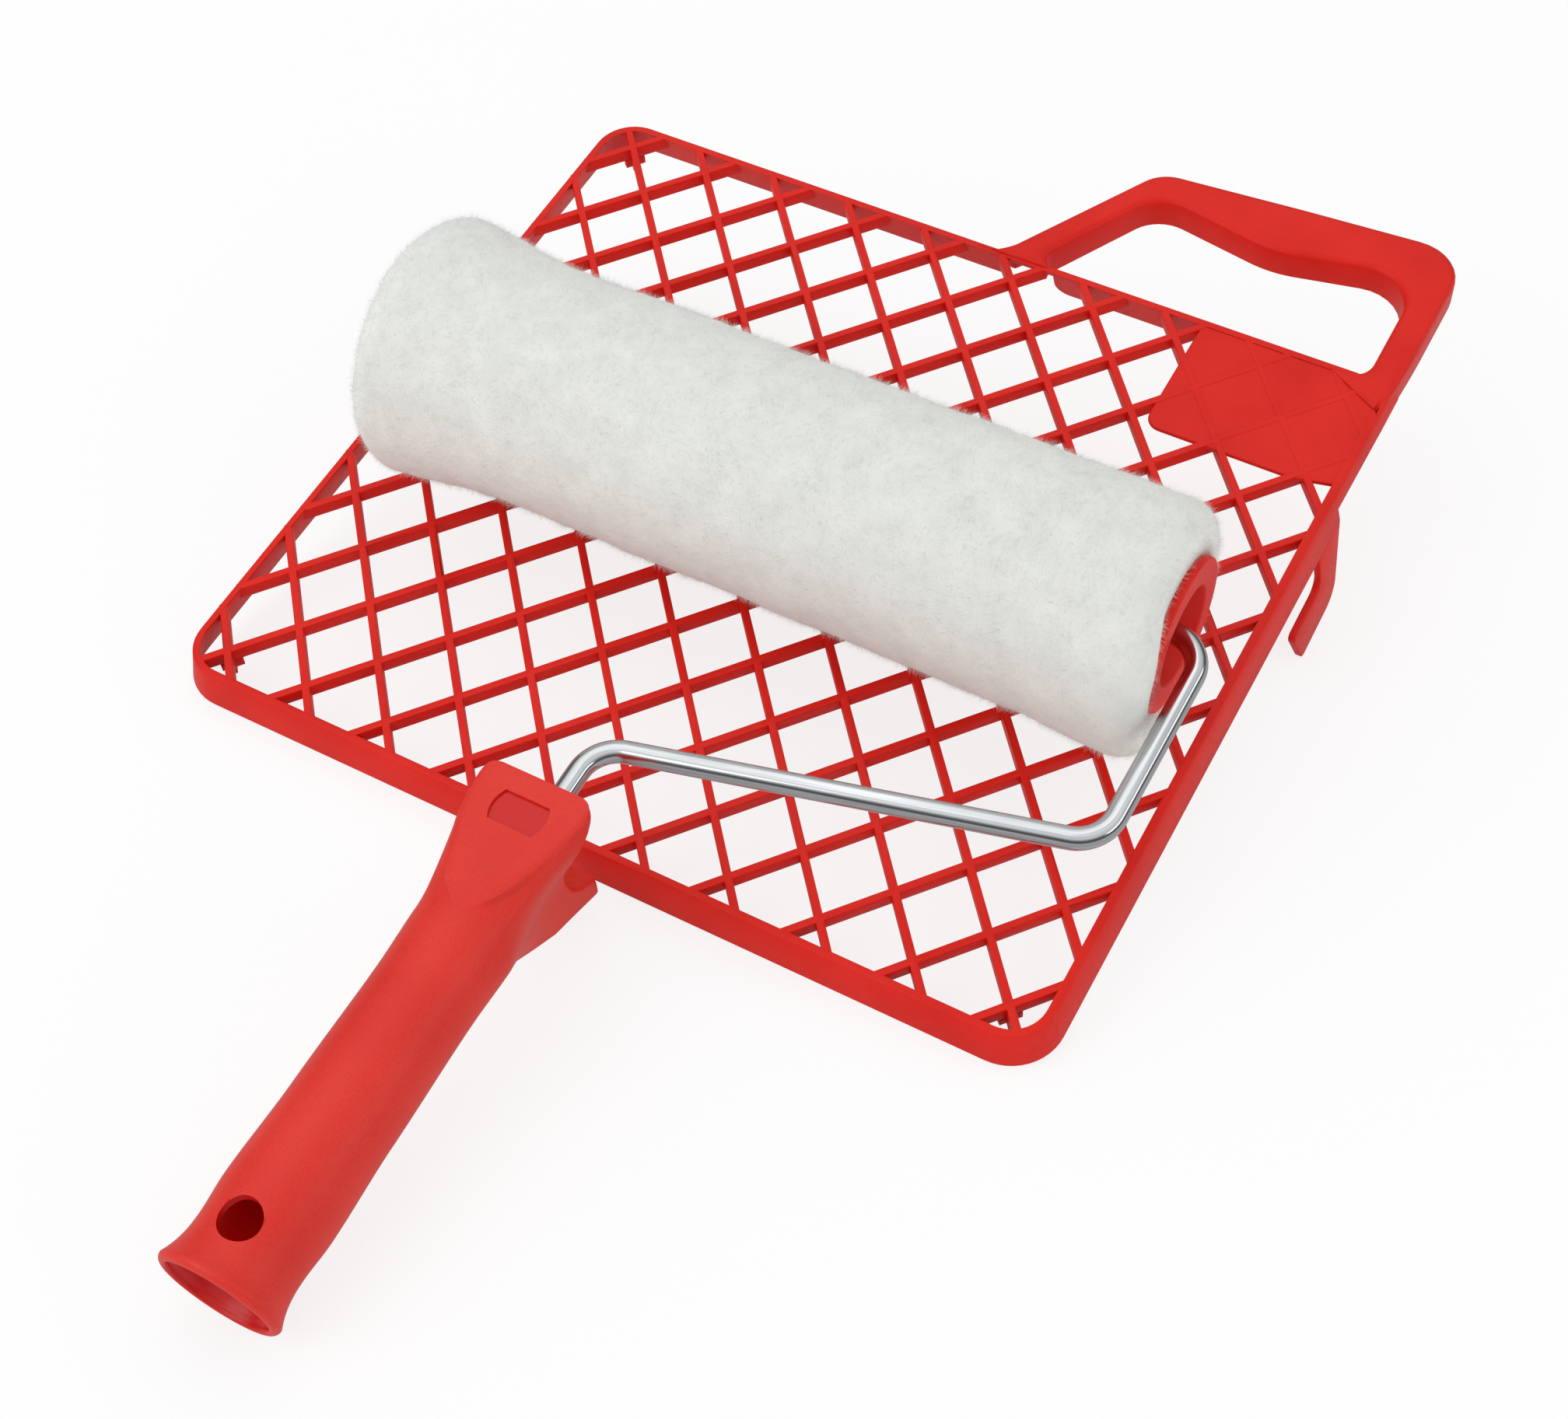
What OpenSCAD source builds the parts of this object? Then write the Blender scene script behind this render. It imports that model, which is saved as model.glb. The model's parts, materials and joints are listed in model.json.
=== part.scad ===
// Paint roller lying on a scraper grid, as the set stands on a table.
// The grid leans on its near edge and on its hook, the roller lies across the ribs
// and its handle reaches down to the table. Millimetres, +Z up, +Y towards the grip.

/* [Lattice] */
// Half the number of crossings across, from the middle to a corner crossing
half_nx = 9; // [5:1:12]
// Half the number of crossings front to back, odd or even like half_nx
half_ny = 7; // [5:2:9]
// Crossing pitch across
pitch_x = 14.14; // [11:0.1:18]
// Crossing pitch front to back
pitch_y = 16.61; // [13:0.1:20]
// Width of a rib
rib_w = 2.4; // [1.6:0.1:4]
// Depth of a rib
rib_h = 4.6; // [2.5:0.1:6]
// Reach of a foot's arm from its crossing
foot_arm = 3.4; // [3:0.1:8]
// Height of a foot below the rib
foot_h = 3.2; // [2:0.1:5.5]

/* [Rim] */
// Corner crossing to the rim's outer top edge, across
margin_x = 11.8; // [8:0.1:20]
// Corner crossing to the rim's outer top edge, front to back
margin_y = 9.9; // [8:0.1:20]
// Height of the rim
rim_h = 11.4; // [9.5:0.1:16]
// How far the rim's foot stands out from its top
rim_flare = 2.8; // [0.5:0.1:4.5]
// Thickness of the rim's wall at its top
rim_t = 2.4; // [2:0.1:3.5]
// Thickness of the rim's wall at its foot
rim_foot_t = 4; // [2.4:0.1:4.6]
// Outer corner radius of the rim's top edge
rim_r = 13; // [8:0.5:20]
// Height of the right wall beside the grip
low_wall_h = 6.5; // [5:0.1:8]

/* [Far notch] */
// Left side of the notch in the far wall
notch_x = 6; // [0:0.5:12]
// Width of the notch
notch_w = 19; // [10:0.5:24]
// Bar left above the notch
notch_bar = 2.2; // [1.5:0.1:4]
// Rounding of the wall's corner beside the notch
notch_r = 5; // [2:0.5:7]

/* [Corner panel] */
// Panel length across, from the rim's outer edge
panel_w = 62.4; // [45:0.2:80]
// Panel length front to back, from the rim's outer edge
panel_d = 46.8; // [30:0.2:60]
// Thickness of the panel
panel_t = 1.8; // [1:0.1:2.4]
// Rounding of the panel's free corner
panel_r = 5; // [2:0.5:10]
// How far the panel's near edge draws back at the right wall
panel_draw = 3; // [0:0.1:6]

/* [Grip] */
// Far side of the rim to the far corner of the grip
grip_reach = 60.7; // [50:0.1:75]
// Fall of the grip's far edge from right to left
grip_fall = 7.5; // [0:0.1:12]
// Rise of the grip's top over the rim
grip_rise = 1.8; // [1:0.1:4]
// Depth of the grip's walls below the rim's top
grip_drop = 9.2; // [5:0.1:9.4]
// Wall thickness of the grip
grip_t = 2.2; // [1.5:0.1:3]
// Width of the grip's bar at its middle
grip_bar = 22; // [16:0.5:26]
// Width of the grip's right leg
grip_leg = 10.4; // [8:0.2:14]
// Rounding of the grip's top edge, sideways
grip_round = 3.6; // [1.5:0.1:4]

/* [Hook] */
// Far end of the hook's root, from the middle of the grid
hook_root_y = 79; // [76:0.5:88]
// Width of the hook's root
hook_root_w = 16; // [12:0.1:20]
// Lower corner of the hook's tip, from the middle of the grid
hook_tip_y = 51; // [46:0.2:56]
// How far the tip's upper corner reaches past the lower one
hook_nose = 7.4; // [2:0.1:9]
// Drop of the hook's tip below the rim's top
hook_drop = 45; // [38:0.1:50]
// Height of the hook's arm
hook_arm = 17; // [12:0.1:19]
// Lean of the hook's back towards its tip
hook_lean = 2; // [0:0.1:5]
// How far the hook's tip stands out from its root
hook_flare = 3.3; // [0:0.1:5]
// Rounding of the hook's heel
heel_r = 8; // [3:0.5:10]
// Rounding of the slot's inner corner
slot_r = 4; // [2:0.5:6]
// Rounding of the hook's tip
tip_r = 2; // [0.5:0.1:3.5]

/* [Sleeve] */
// Distance of the axle from the middle of the grid, towards the near side
axle_back = 13.3; // [0:0.1:40]
// Middle of the sleeve, from the middle of the grid
sleeve_x = 2.1; // [-10:0.1:8]
// Length of the core tube
core_len = 246; // [200:1:256]
// Outer diameter of the core tube
core_d = 46.6; // [42:0.2:54]
// Wall of the core tube
core_t = 1.8; // [1:0.1:3]
// Outer diameter over the pile
pile_d = 71.4; // [60:0.2:80]
// How far the pile stands past the core's ends
pile_over = 1.5; // [0:0.1:3]
// Rounding of the pile's ends
pile_r = 7; // [2:0.5:10]

/* [Caps] */
// Diameter of a cap's flange
flange_d = 45.2; // [40:0.2:46]
// Thickness of a cap's flange
flange_t = 3; // [1.5:0.1:4]
// Rounding of the flange's edge
flange_r = 1.4; // [0.4:0.1:1.4]
// Mouth diameter of the cap's recess
dish_mouth_d = 29.4; // [24:0.2:32]
// Floor diameter of the cap's recess
dish_floor_d = 22; // [18:0.2:23]
// Depth of the cap's recess
dish_depth = 11; // [9:0.5:14]
// Depth of the cap's skirt in the core tube
skirt_len = 20; // [16:0.5:30]
// Wall of the cap's skirt
skirt_t = 2; // [1.4:0.1:3]
// Diameter of the cap's hub
hub_d = 12; // [10:0.2:14]

/* [Wire] */
// Wire diameter
wire_d = 6.3; // [5:0.1:8]
// Inside radius of the wire's bends
bend_in = 8; // [6:0.5:10]
// Arm of the bow to the right end of the core tube
arm_gap = 10.5; // [10:0.1:16]
// Length of the bow's arm, axle to the far corner of the diagonal
arm_len = 68.3; // [58:0.1:85]
// Fall of the diagonal from the arm to the handle
diagonal_fall = 32.5; // [15:0.5:50]
// Depth of the wire's tail in the handle
tail_len = 70; // [55:1:74]
// Outer diameter of the retaining clip
clip_d = 15; // [11:0.2:19]
// Thickness of the retaining clip
clip_t = 1.2; // [0.8:0.1:2]
// Wire left standing past the clip
wire_stub = 1.6; // [0.5:0.1:3]

/* [Handle] */
// Handle axis from the middle of the grid
handle_x = 4.3; // [-10:0.1:20]
// Front of the head, from the bow's near corner
head_gap = 22.6; // [16:0.2:35]
// Length of the head
head_len = 42; // [38:0.5:50]
// Length of the handle, head and grip together
handle_len = 148; // [140:0.5:180]
// Width of the head
head_w = 34; // [28:0.2:40]
// Height of the head's flat top over the axis
head_top = 16; // [14.8:0.1:18]
// Rounding of the head's front corners
head_r = 5; // [2:0.5:7]
// Diameter at the shoulder, where the head ends
shoulder_d = 28.9; // [26.4:0.1:29.4]
// Diameter at the waist
waist_d = 28; // [26:0.1:29]
// Diameter at the belly
belly_d = 29; // [28:0.1:33]
// Diameter of the bead before the socket
bead_d = 30.5; // [29.5:0.1:35]
// Diameter of the neck behind the bead
neck_d = 29.3; // [28.6:0.1:33]
// Diameter of the rolled lip
lip_d = 34; // [33:0.1:40]
// Rounding of the rolled lip
lip_r = 1.2; // [0.6:0.1:2]
// Wall left at the socket's mouth
lip_land = 1.8; // [1.4:0.1:3.4]
// Depth of the socket's flared mouth
mouth_len = 9; // [6:0.5:9.5]
// Bore of the pole socket
socket_d = 24.6; // [20:0.1:25]
// Depth of the pole socket
socket_depth = 62; // [40:0.5:68]
// Hanging hole through the socket
hang_d = 11.2; // [8:0.1:14]
// Hanging hole to the handle's end
hang_back = 15.6; // [12:0.2:20]

/* [Spur] */
// Width of the spur
spur_w = 16; // [10:0.2:22]
// Drop of the spur's tip below the axis
spur_drop = 38.4; // [34:0.2:42]
// Depth of the scooped throat behind the head's front
throat_back = 9.3; // [7:0.1:11]
// Thickness of the head's front edge over the throat
brow_t = 3.5; // [2:0.1:5]
// How far the spur's tip stands in front of the head
nose_out = 2.3; // [0.5:0.1:4]

/* [Recess] */
// Length of the bare recess in the head's top
recess_w = 15.8; // [8:0.1:22]
// Width of the bare recess
recess_d = 9.3; // [5:0.1:14]
// Depth of the bare recess
recess_t = 0.8; // [0.3:0.1:1.5]
// Recess to the head's front edge
recess_back = 6.6; // [5:0.1:12]

/* [Fits] */
// Pile over the ribs
lie_gap = 0.3; // [0.2:0.05:1]
// Running fit of a cap on the wire, on the radius
run_fit = 0.08; // [0.03:0.01:0.1]
// Play between the clip and the cap's hub
end_play = 0.4; // [0.3:0.1:1.5]
// Fit of the wire in the handle, on the radius
wire_fit = 0.02; // [0.01:0.01:0.05]

/* [Hidden] */
$fn = 64;
eps = 0.01;
red = "#d9302a";
white = "#e9ebe8";
steel = "#b9bcc0";
board = "#c9b48d";

// Rim sizes at its outer top edge, from the lattice
rim_w = 2 * (half_nx * pitch_x + margin_x);
rim_d = 2 * (half_ny * pitch_y + margin_y);
half_w = rim_w / 2;
half_d = rim_d / 2;
rib_angle = atan2(pitch_y, pitch_x);
lean = rim_flare / rim_h;
inner_lean = (rim_flare - rim_foot_t + rim_t) / rim_h;
wall_profile = [[-rim_t, 0], [0, 0], [rim_flare, -rim_h], [rim_flare - rim_foot_t, -rim_h]];

// Lean of the grid: its near foot and the hook's rounded tip stand on the table
near_foot = half_d + rim_flare;
heel_rise = 1.9;
slot_in = 2.3;
hook_points = [
    [hook_root_y, -rim_h, 0],
    [hook_root_y - hook_lean, heel_rise - hook_drop, heel_r],
    [hook_tip_y, -hook_drop, tip_r],
    [hook_tip_y - hook_nose, hook_arm - hook_drop, tip_r],
    [hook_root_y - hook_root_w + slot_in, hook_arm + 1 - hook_drop, slot_r],
    [hook_root_y - hook_root_w, -rim_h, 0]];
tip_mid = arc_mid(hook_points, 2);
tip_reach = tip_mid.x + near_foot;
tip_fall = -tip_mid.y - rim_h;
grid_tilt = atan2(tip_fall, tip_reach) + asin(tip_r / norm([tip_fall, tip_reach]));

// Axle over the table, then the roller's tilt that lays the handle's lip on the table
axle_z = pile_d / 2 + lie_gap;
axle_fore = near_foot - axle_back;
axle_over = axle_fore * sin(grid_tilt) + (axle_z + rim_h) * cos(grid_tilt);
axle_along = axle_fore * cos(grid_tilt) - (axle_z + rim_h) * sin(grid_tilt);
head_y = -arm_len - diagonal_fall - head_gap;
reach = handle_len - head_y;
roller_tilt = asin(axle_over / norm([reach, lip_d / 2])) - atan2(lip_d / 2, reach);

// Middle of the whole set over the table
grip_y = half_d + grip_reach;
near_end = axle_along - reach * cos(roller_tilt) - lip_d / 2 * sin(roller_tilt);
far_end = (grip_y + near_foot) * cos(grid_tilt) - (rim_h - grip_drop) * sin(grid_tilt);
mid_y = (near_end + far_end) / 2;
hook_out = half_w + rim_flare + hook_flare;
mid_x = hook_flare / 2;

// Sleeve ends, caps and wire
core_right = sleeve_x + core_len / 2;
core_left = sleeve_x - core_len / 2;
core_in = core_d / 2 - core_t;
wire_r = wire_d / 2;
bend_r = bend_in + wire_r;
hub_top = dish_depth - flange_t;
arm_x = core_right + arm_gap;
clip_x = core_left + hub_top - end_play;
axle_end = clip_x - clip_t - wire_stub;
diagonal_turn = atan2(arm_x - handle_x, diagonal_fall);
seat = 0.05;
bend_thin = 0.02;

// Unit vector at an angle in the plane
function toward(a) = [cos(a), sin(a)];

// Way from corner number i of an outline of [x, y, radius] to another of its corners
function leg(p, i, j) = let (d = [p[j].x - p[i].x, p[j].y - p[i].y]) d / norm(d);

// Middle of the arc that rounds corner number i
function arc_mid(p, i) =
    let (u = leg(p, i, i - 1), v = leg(p, i, i + 1))
    [p[i].x, p[i].y] + (u + v) / norm(u + v) * p[i].z / sin(acos(u * v) / 2);

// Corner number i turned into the points of its arc
function arc_at(p, i, n) =
    let (u = leg(p, i, i - 1), v = leg(p, i, i + 1), mid = arc_mid(p, i),
         side = sign(cross(u, v)), span = 90 - acos(u * v) / 2,
         start = atan2((u + v).y, (u + v).x) + 180)
    [for (k = [0 : n]) mid + p[i].z * toward(start + side * span * (1 - 2 * k / n))];

// Open outline: its first and last points stay sharp
function open_path(p, n = 8) =
    concat([[p[0].x, p[0].y]],
           [for (i = [1 : len(p) - 2]) each arc_at(p, i, n)],
           [[p[len(p) - 1].x, p[len(p) - 1].y]]);

// Smooth step from 0 to 1
function ease(t) = let (s = min(1, max(0, t))) s * s * (3 - 2 * s);

// Radius between two stations of a turned profile
function swell(a, b, n = 8) =
    [for (k = [0 : n - 1]) [a.x + (b.x - a.x) * k / n, a.y + (b.y - a.y) * ease(k / n)]];

// Places the grid: its near foot stays on the table
module grid_pose() {
    translate([-mid_x, -mid_y, 0])
        rotate([grid_tilt, 0, 0])
            translate([0, near_foot, rim_h])
                children();
}

// Places the roller: the axle lies along X at its own origin
module roller_pose() {
    translate([-mid_x, axle_along - mid_y, axle_over])
        rotate([roller_tilt, 0, 0])
            children();
}

// Places handle pieces: Z runs from the head's front down the handle
module handle_pose() {
    roller_pose()
        translate([handle_x, head_y, 0])
            rotate([90, 0, 0])
                children();
}

// Plan of what fills the rim down to a depth, its edge inside the wall's thickness
function bite(depth) = (rim_t - inner_lean * depth) / 2;
module rim_plan(depth) {
    r = rim_r - bite(depth);
    polygon([for (q = [0 : 3]) for (k = [0 : 12])
        let (c = toward(45 + 90 * q) * sqrt(2))
        [c.x * (half_w - rim_r), c.y * (half_d - rim_r)] + r * toward(90 * q + 7.5 * k)]);
}

// Flared wall along X, its outside towards +Y
module wall_run(length) {
    rotate([90, 0, 90])
        linear_extrude(length, center = true)
            polygon(wall_profile);
}

// The whole rim before anything is cut from it
module rim_ring() {
    for (s = [0, 180])
        rotate(s) {
            translate([0, half_d, 0])
                wall_run(rim_w - 2 * rim_r);
            rotate(-90)
                translate([0, half_w, 0])
                    wall_run(rim_d - 2 * rim_r);
            for (c = [0, 1])
                mirror([c, 0, 0])
                    translate([half_w - rim_r, half_d - rim_r, 0])
                        rotate_extrude(angle = 90)
                            translate([rim_r, 0])
                                polygon(wall_profile);
        }
}

// Opening under the grip's left leg, drawn on the far wall
module notch_outline() {
    translate([notch_x, -rim_h - eps])
        square([notch_w, rim_h + eps - notch_bar]);
    translate([notch_x + notch_w - eps, -rim_h - eps])
        difference() {
            square([notch_r + eps, notch_r + eps]);
            translate([notch_r + eps, notch_r + eps])
                circle(notch_r);
        }
}

module rim_frame() {
    color(red)
        grid_pose()
            difference() {
                rim_ring();
                translate([0, half_d + rim_flare + 1, 0])
                    rotate([90, 0, 0])
                        linear_extrude(rim_t + rim_flare + 2)
                            notch_outline();
                translate([half_w - rim_r, hook_root_y, -rim_h - 1])
                    cube([rim_r + rim_flare + 1, half_d - hook_root_y + rim_flare + 1,
                          rim_h + 1 - low_wall_h]);
            }
}

// Plan of the closed corner, out into the thickness of the rim's wall
panel_turn = 14;
module panel_plan() {
    b = bite(panel_t);
    polygon(open_path([
        [half_w - panel_w, half_d - b, 0],
        [half_w - panel_w, half_d - panel_d, panel_r],
        [half_w - panel_turn, half_d - panel_d, panel_turn],
        [half_w - b, half_d - panel_d + panel_draw, 0.5],
        [half_w - b, half_d - b, rim_r - b],
        [half_w - panel_w + 1, half_d - b, 0]]));
}

module panel_plate() {
    translate([0, 0, -panel_t])
        linear_extrude(panel_t)
            panel_plan();
}

// One family of parallel ribs
module rib_family(angle) {
    count = half_nx + half_ny;
    step = 2 * pitch_x * sin(rib_angle);
    for (k = [-count / 2 : 1 : count / 2])
        rotate(angle)
            translate([0, k * step])
                square([rim_w + rim_d, rib_w], center = true);
}

module mesh_ribs() {
    color(red)
        grid_pose()
            difference() {
                translate([0, 0, -rib_h])
                    linear_extrude(rib_h)
                        intersection() {
                            union() {
                                rib_family(rib_angle);
                                rib_family(-rib_angle);
                            }
                            rim_plan(rib_h);
                        }
                rim_ring();
                panel_plate();
            }
}

module corner_panel() {
    color(red)
        grid_pose()
            difference() {
                panel_plate();
                rim_ring();
            }
}

module corner_feet() {
    color(red)
        grid_pose()
            for (sx = [-1, 1])
                for (sy = [-1, 1])
                    translate([sx * half_nx * pitch_x, sy * half_ny * pitch_y, -rib_h - foot_h])
                        linear_extrude(foot_h)
                            for (s = [-1, 1])
                                rotate(s * rib_angle)
                                    square([2 * foot_arm, rib_w], center = true);
}

// Outer and inner edge of the grip, from the left root round to the right corner
left_foot_x = notch_x + 0.3;
root_y = half_d - rim_t / 2;
far_left = [left_foot_x + 31.8, grip_y - grip_fall];
grip_out_x = half_w + 1.7;
bar_mid = [left_foot_x + 81.7, grip_y - grip_fall / 2 + 0.5];
leg_in_x = grip_out_x - grip_leg;
grip_outer = open_path([
    [left_foot_x - 12, root_y, 0],
    [left_foot_x, root_y, 10],
    [far_left.x, far_left.y, 11.5],
    [bar_mid.x, bar_mid.y, 600],
    [grip_out_x, grip_y, 14.5],
    [grip_out_x, half_d + 5, 400],
    [half_w, half_d - rim_r, 0]]);
grip_inner = open_path([
    [left_foot_x + 22, root_y, 0],
    [left_foot_x + 11, root_y, 5],
    [far_left.x + 4.2, far_left.y - 10.2, 13],
    [bar_mid.x - 3.5, bar_mid.y - grip_bar, 40],
    [leg_in_x, grip_y - 15.5, 14.5],
    [leg_in_x, root_y, 6],
    [leg_in_x - 12, root_y - 0.4, 0]]);

// Section of the grip from its outer to its inner edge: domed above, open below
dome_n = 6;
function grip_section(o, i, top) =
    let (w = norm(i - o), u = (i - o) / w,
         side = min(grip_round, w / 3), fall = min(grip_rise + 1, 2.6),
         dome = [for (k = [0 : dome_n])
             [side * (1 - cos(90 * k / dome_n)), top - fall * (1 - sin(90 * k / dome_n))]],
         back = [for (k = [dome_n : -1 : 0]) [w - dome[k].x, dome[k].y]],
         flat = concat([[0, -grip_drop]], dome, back,
                       [[w, -grip_drop], [w - grip_t, -grip_drop], [w - grip_t, top - grip_t - 1],
                        [grip_t, top - grip_t - 1], [grip_t, -grip_drop]]))
    [for (p = flat) [o.x + u.x * p.x, o.y + u.y * p.x, p.y]];

// Triangles that close one end of the channel: two walls and the roof between them
function channel_end(base, flip) =
    let (d = dome_n, a = 2 * d + 3,
         t = concat([[0, 1, a + 3], [0, a + 3, a + 4]],
                    [for (k = [1 : d]) [k, k + 1, a + 3]],
                    [[d + 1, d + 2, a + 2], [d + 1, a + 2, a + 3]],
                    [for (k = [d + 2 : a - 2]) [k, k + 1, a + 2]],
                    [[a - 1, a, a + 1], [a - 1, a + 1, a + 2]]))
    [for (f = t) let (g = flip ? [f[2], f[1], f[0]] : f) [base + g[0], base + g[1], base + g[2]]];

// Skin over a row of channel sections
module channel_loft(rows) {
    n = len(rows[0]);
    m = len(rows);
    polyhedron(
        points = [for (r = rows) each r],
        faces = concat(
            channel_end(0, false),
            [for (j = [0 : m - 2]) for (k = [0 : n - 1])
                [j * n + k, (j + 1) * n + k, (j + 1) * n + (k + 1) % n]],
            [for (j = [0 : m - 2]) for (k = [0 : n - 1])
                [j * n + k, (j + 1) * n + (k + 1) % n, j * n + (k + 1) % n]],
            channel_end((m - 1) * n, true)),
        convexity = 6);
}

module grip_loop() {
    last = len(grip_outer) - 1;
    color(red)
        grid_pose()
            difference() {
                channel_loft([for (j = [0 : last])
                    grip_section(grip_outer[j], grip_inner[j], grip_rise * ease((j + 1) / 8))]);
                hull()
                    rim_ring();
            }
}

module hang_hook() {
    inside = half_w + rim_flare - rim_t;
    color(red)
        grid_pose()
            intersection() {
                translate([inside - 1, 0, 0])
                    rotate([90, 0, 90])
                        linear_extrude(rim_t + hook_flare + 2)
                            polygon(open_path(hook_points));
                translate([0, hook_root_y + 1, 0])
                    rotate([90, 0, 0])
                        linear_extrude(hook_root_y - hook_tip_y + hook_nose + 2)
                            polygon([[inside, -rim_h], [inside + rim_t, -rim_h],
                                     [hook_out, -hook_drop], [hook_out - rim_t, -hook_drop]]);
            }
}

// Straight wire along X, seated a little in the bends at its ends; the next piece follows it
module wire_run(length) {
    translate([-seat, 0, 0])
        rotate([0, 90, 0])
            cylinder(r = wire_r, h = length + 2 * seat);
    translate([length, 0, 0])
        children();
}

// Bend to the left (1) or right (-1), a trace thinner than the wire; the next piece follows it
module wire_bend(turn, side) {
    flip = side < 0 ? 1 : 0;
    mirror([0, flip, 0])
        translate([0, bend_r, 0]) {
            rotate(-90)
                rotate_extrude(angle = turn)
                    translate([bend_r, 0])
                        circle(wire_r - bend_thin);
            rotate(turn)
                translate([0, -bend_r, 0])
                    mirror([0, flip, 0])
                        children();
        }
}

module wire_bow() {
    slant = bend_r * tan(diagonal_turn / 2);
    color(steel)
        roller_pose()
            translate([axle_end + seat, 0, 0])
                wire_run(arm_x - bend_r - axle_end - seat)
                wire_bend(90, -1)
                wire_run(arm_len - bend_r - slant)
                wire_bend(diagonal_turn, -1)
                wire_run(norm([arm_x - handle_x, diagonal_fall]) - 2 * slant)
                wire_bend(diagonal_turn, 1)
                wire_run(head_gap + tail_len - slant - seat);
}

module retaining_clip() {
    color(steel)
        roller_pose()
            translate([clip_x - clip_t, 0, 0])
                rotate([0, 90, 0])
                    difference() {
                        cylinder(d = clip_d, h = clip_t);
                        translate([0, 0, -1])
                            cylinder(r = wire_r, h = clip_t + 2);
                    }
}

// Turned outline of the grip: shoulder, waist, belly, bead, neck and rolled lip
waist_z = head_len + 18;
belly_z = waist_z + 36;
bead_z = handle_len - 25;
neck_z = handle_len - 14;
flare_n = 10;
flare_power = 2.5;
lip_z = handle_len - lip_r;
grip_profile = concat(
    [[head_len, 0]],
    swell([head_len, shoulder_d / 2], [waist_z, waist_d / 2]),
    swell([waist_z, waist_d / 2], [belly_z, belly_d / 2]),
    swell([belly_z, belly_d / 2], [bead_z, bead_d / 2]),
    swell([bead_z, bead_d / 2], [neck_z, neck_d / 2]),
    [for (k = [0 : flare_n - 1])
        [neck_z + (lip_z - neck_z) * k / flare_n,
         (neck_d + (lip_d - neck_d) * pow(k / flare_n, flare_power)) / 2]],
    [for (k = [0 : 4]) [lip_z, lip_d / 2 - lip_r] + lip_r * toward(90 - 22.5 * k)],
    [[handle_len, 0]]);

module handle_grip() {
    color(red)
        handle_pose()
            difference() {
                rotate_extrude()
                    polygon([for (p = grip_profile) [p.y, p.x]]);
                translate([0, 0, handle_len - socket_depth])
                    cylinder(d = socket_d, h = socket_depth + 1);
                translate([0, 0, handle_len - mouth_len])
                    cylinder(d1 = socket_d, d2 = lip_d - 2 * lip_land, h = mouth_len + eps);
                translate([0, 0, -1])
                    cylinder(r = wire_r + wire_fit, h = tail_len + 1);
                translate([0, 0, handle_len - hang_back])
                    rotate([90, 0, 0])
                        cylinder(d = hang_d, h = lip_d + 2, center = true);
            }
}

// The head along the handle: raised shield pad, its bevel, and the round shoulder it fades into
pad_front = 3;
pad_end = 41.3;
pad_power = 0.62;
head_taper = 0.06;
pad_tip = 1;
bevel_drop = 4.5;
fade_start = 18;
fade_power = 1.15;
step_start = 37.5;
step_end = 41.5;
blade_at = 0.62;
function eased_in(d, r) = d < r ? r - sqrt(r * r - pow(r - max(d, 0), 2)) : 0;
function pad_half(d) =
    let (t = max(0, min(1, (d - pad_front) / (pad_end - pad_front))))
    max(pad_tip, head_w / 2 * pow(1 - t * t, pad_power));
function pad_top(d) =
    head_top + (shoulder_d / 2 - head_top) * ease((d - step_start) / (step_end - step_start));
function fade(d) = pow(max(0, (d - fade_start) / (head_len - fade_start)), fade_power);

// Underside of the head and its spur, as a depth below the axis
under_path = open_path([
    [-nose_out - 1, spur_drop, 0],
    [10.9, spur_drop - 5.8, 20],
    [19.3, spur_drop - 8.6, 25],
    [head_len, spur_drop - 8.6, 0]]);
function under(d) = lookup(d, under_path);

// Half a section of the head, top to bottom: pad, bevel, bulging side, blade of the spur
bevel_n = 5;
side_n = 10;
function head_corner(d) =
    [head_w / 2 + 0.3 - eased_in(d, head_r) - head_taper * max(0, d - pad_front), head_top - bevel_drop];
function head_side(d, t) =
    let (c = head_corner(d), blade = spur_w / 2, in = ease(t / blade_at))
    [c.x + (min(blade, c.x) - c.x) * in, c.y - (c.y + under(d)) * t];
function mix(a, b, t) = a + (b - a) * t;
function round_at(a) = shoulder_d / 2 * toward(a);
function head_half(d) =
    let (b = [pad_half(d) - eased_in(d, head_r), pad_top(d)], c = head_corner(d), f = fade(d),
         low = head_side(d, 1), top_a = 90 - asin(2 * pad_tip / shoulder_d), turn_a = 37, low_a = -60)
    concat([[0, b.y], [b.x / 2, b.y]],
           [for (k = [0 : bevel_n - 1])
               k == 0 ? b : mix(mix(b, c, k / bevel_n), round_at(mix(top_a, turn_a, k / bevel_n)), f)],
           [for (k = [0 : side_n])
               mix(head_side(d, k / side_n), round_at(mix(turn_a, low_a, k / side_n)), f)],
           [mix([low.x / 2, low.y], round_at((low_a - 90) / 2), f), mix([0, low.y], round_at(-90), f)]);
function head_ring(d) =
    let (h = head_half(d), n = len(h))
    concat([for (p = h) [p.x, p.y, d]], [for (k = [n - 2 : -1 : 1]) [-h[k].x, h[k].y, d]]);

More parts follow.
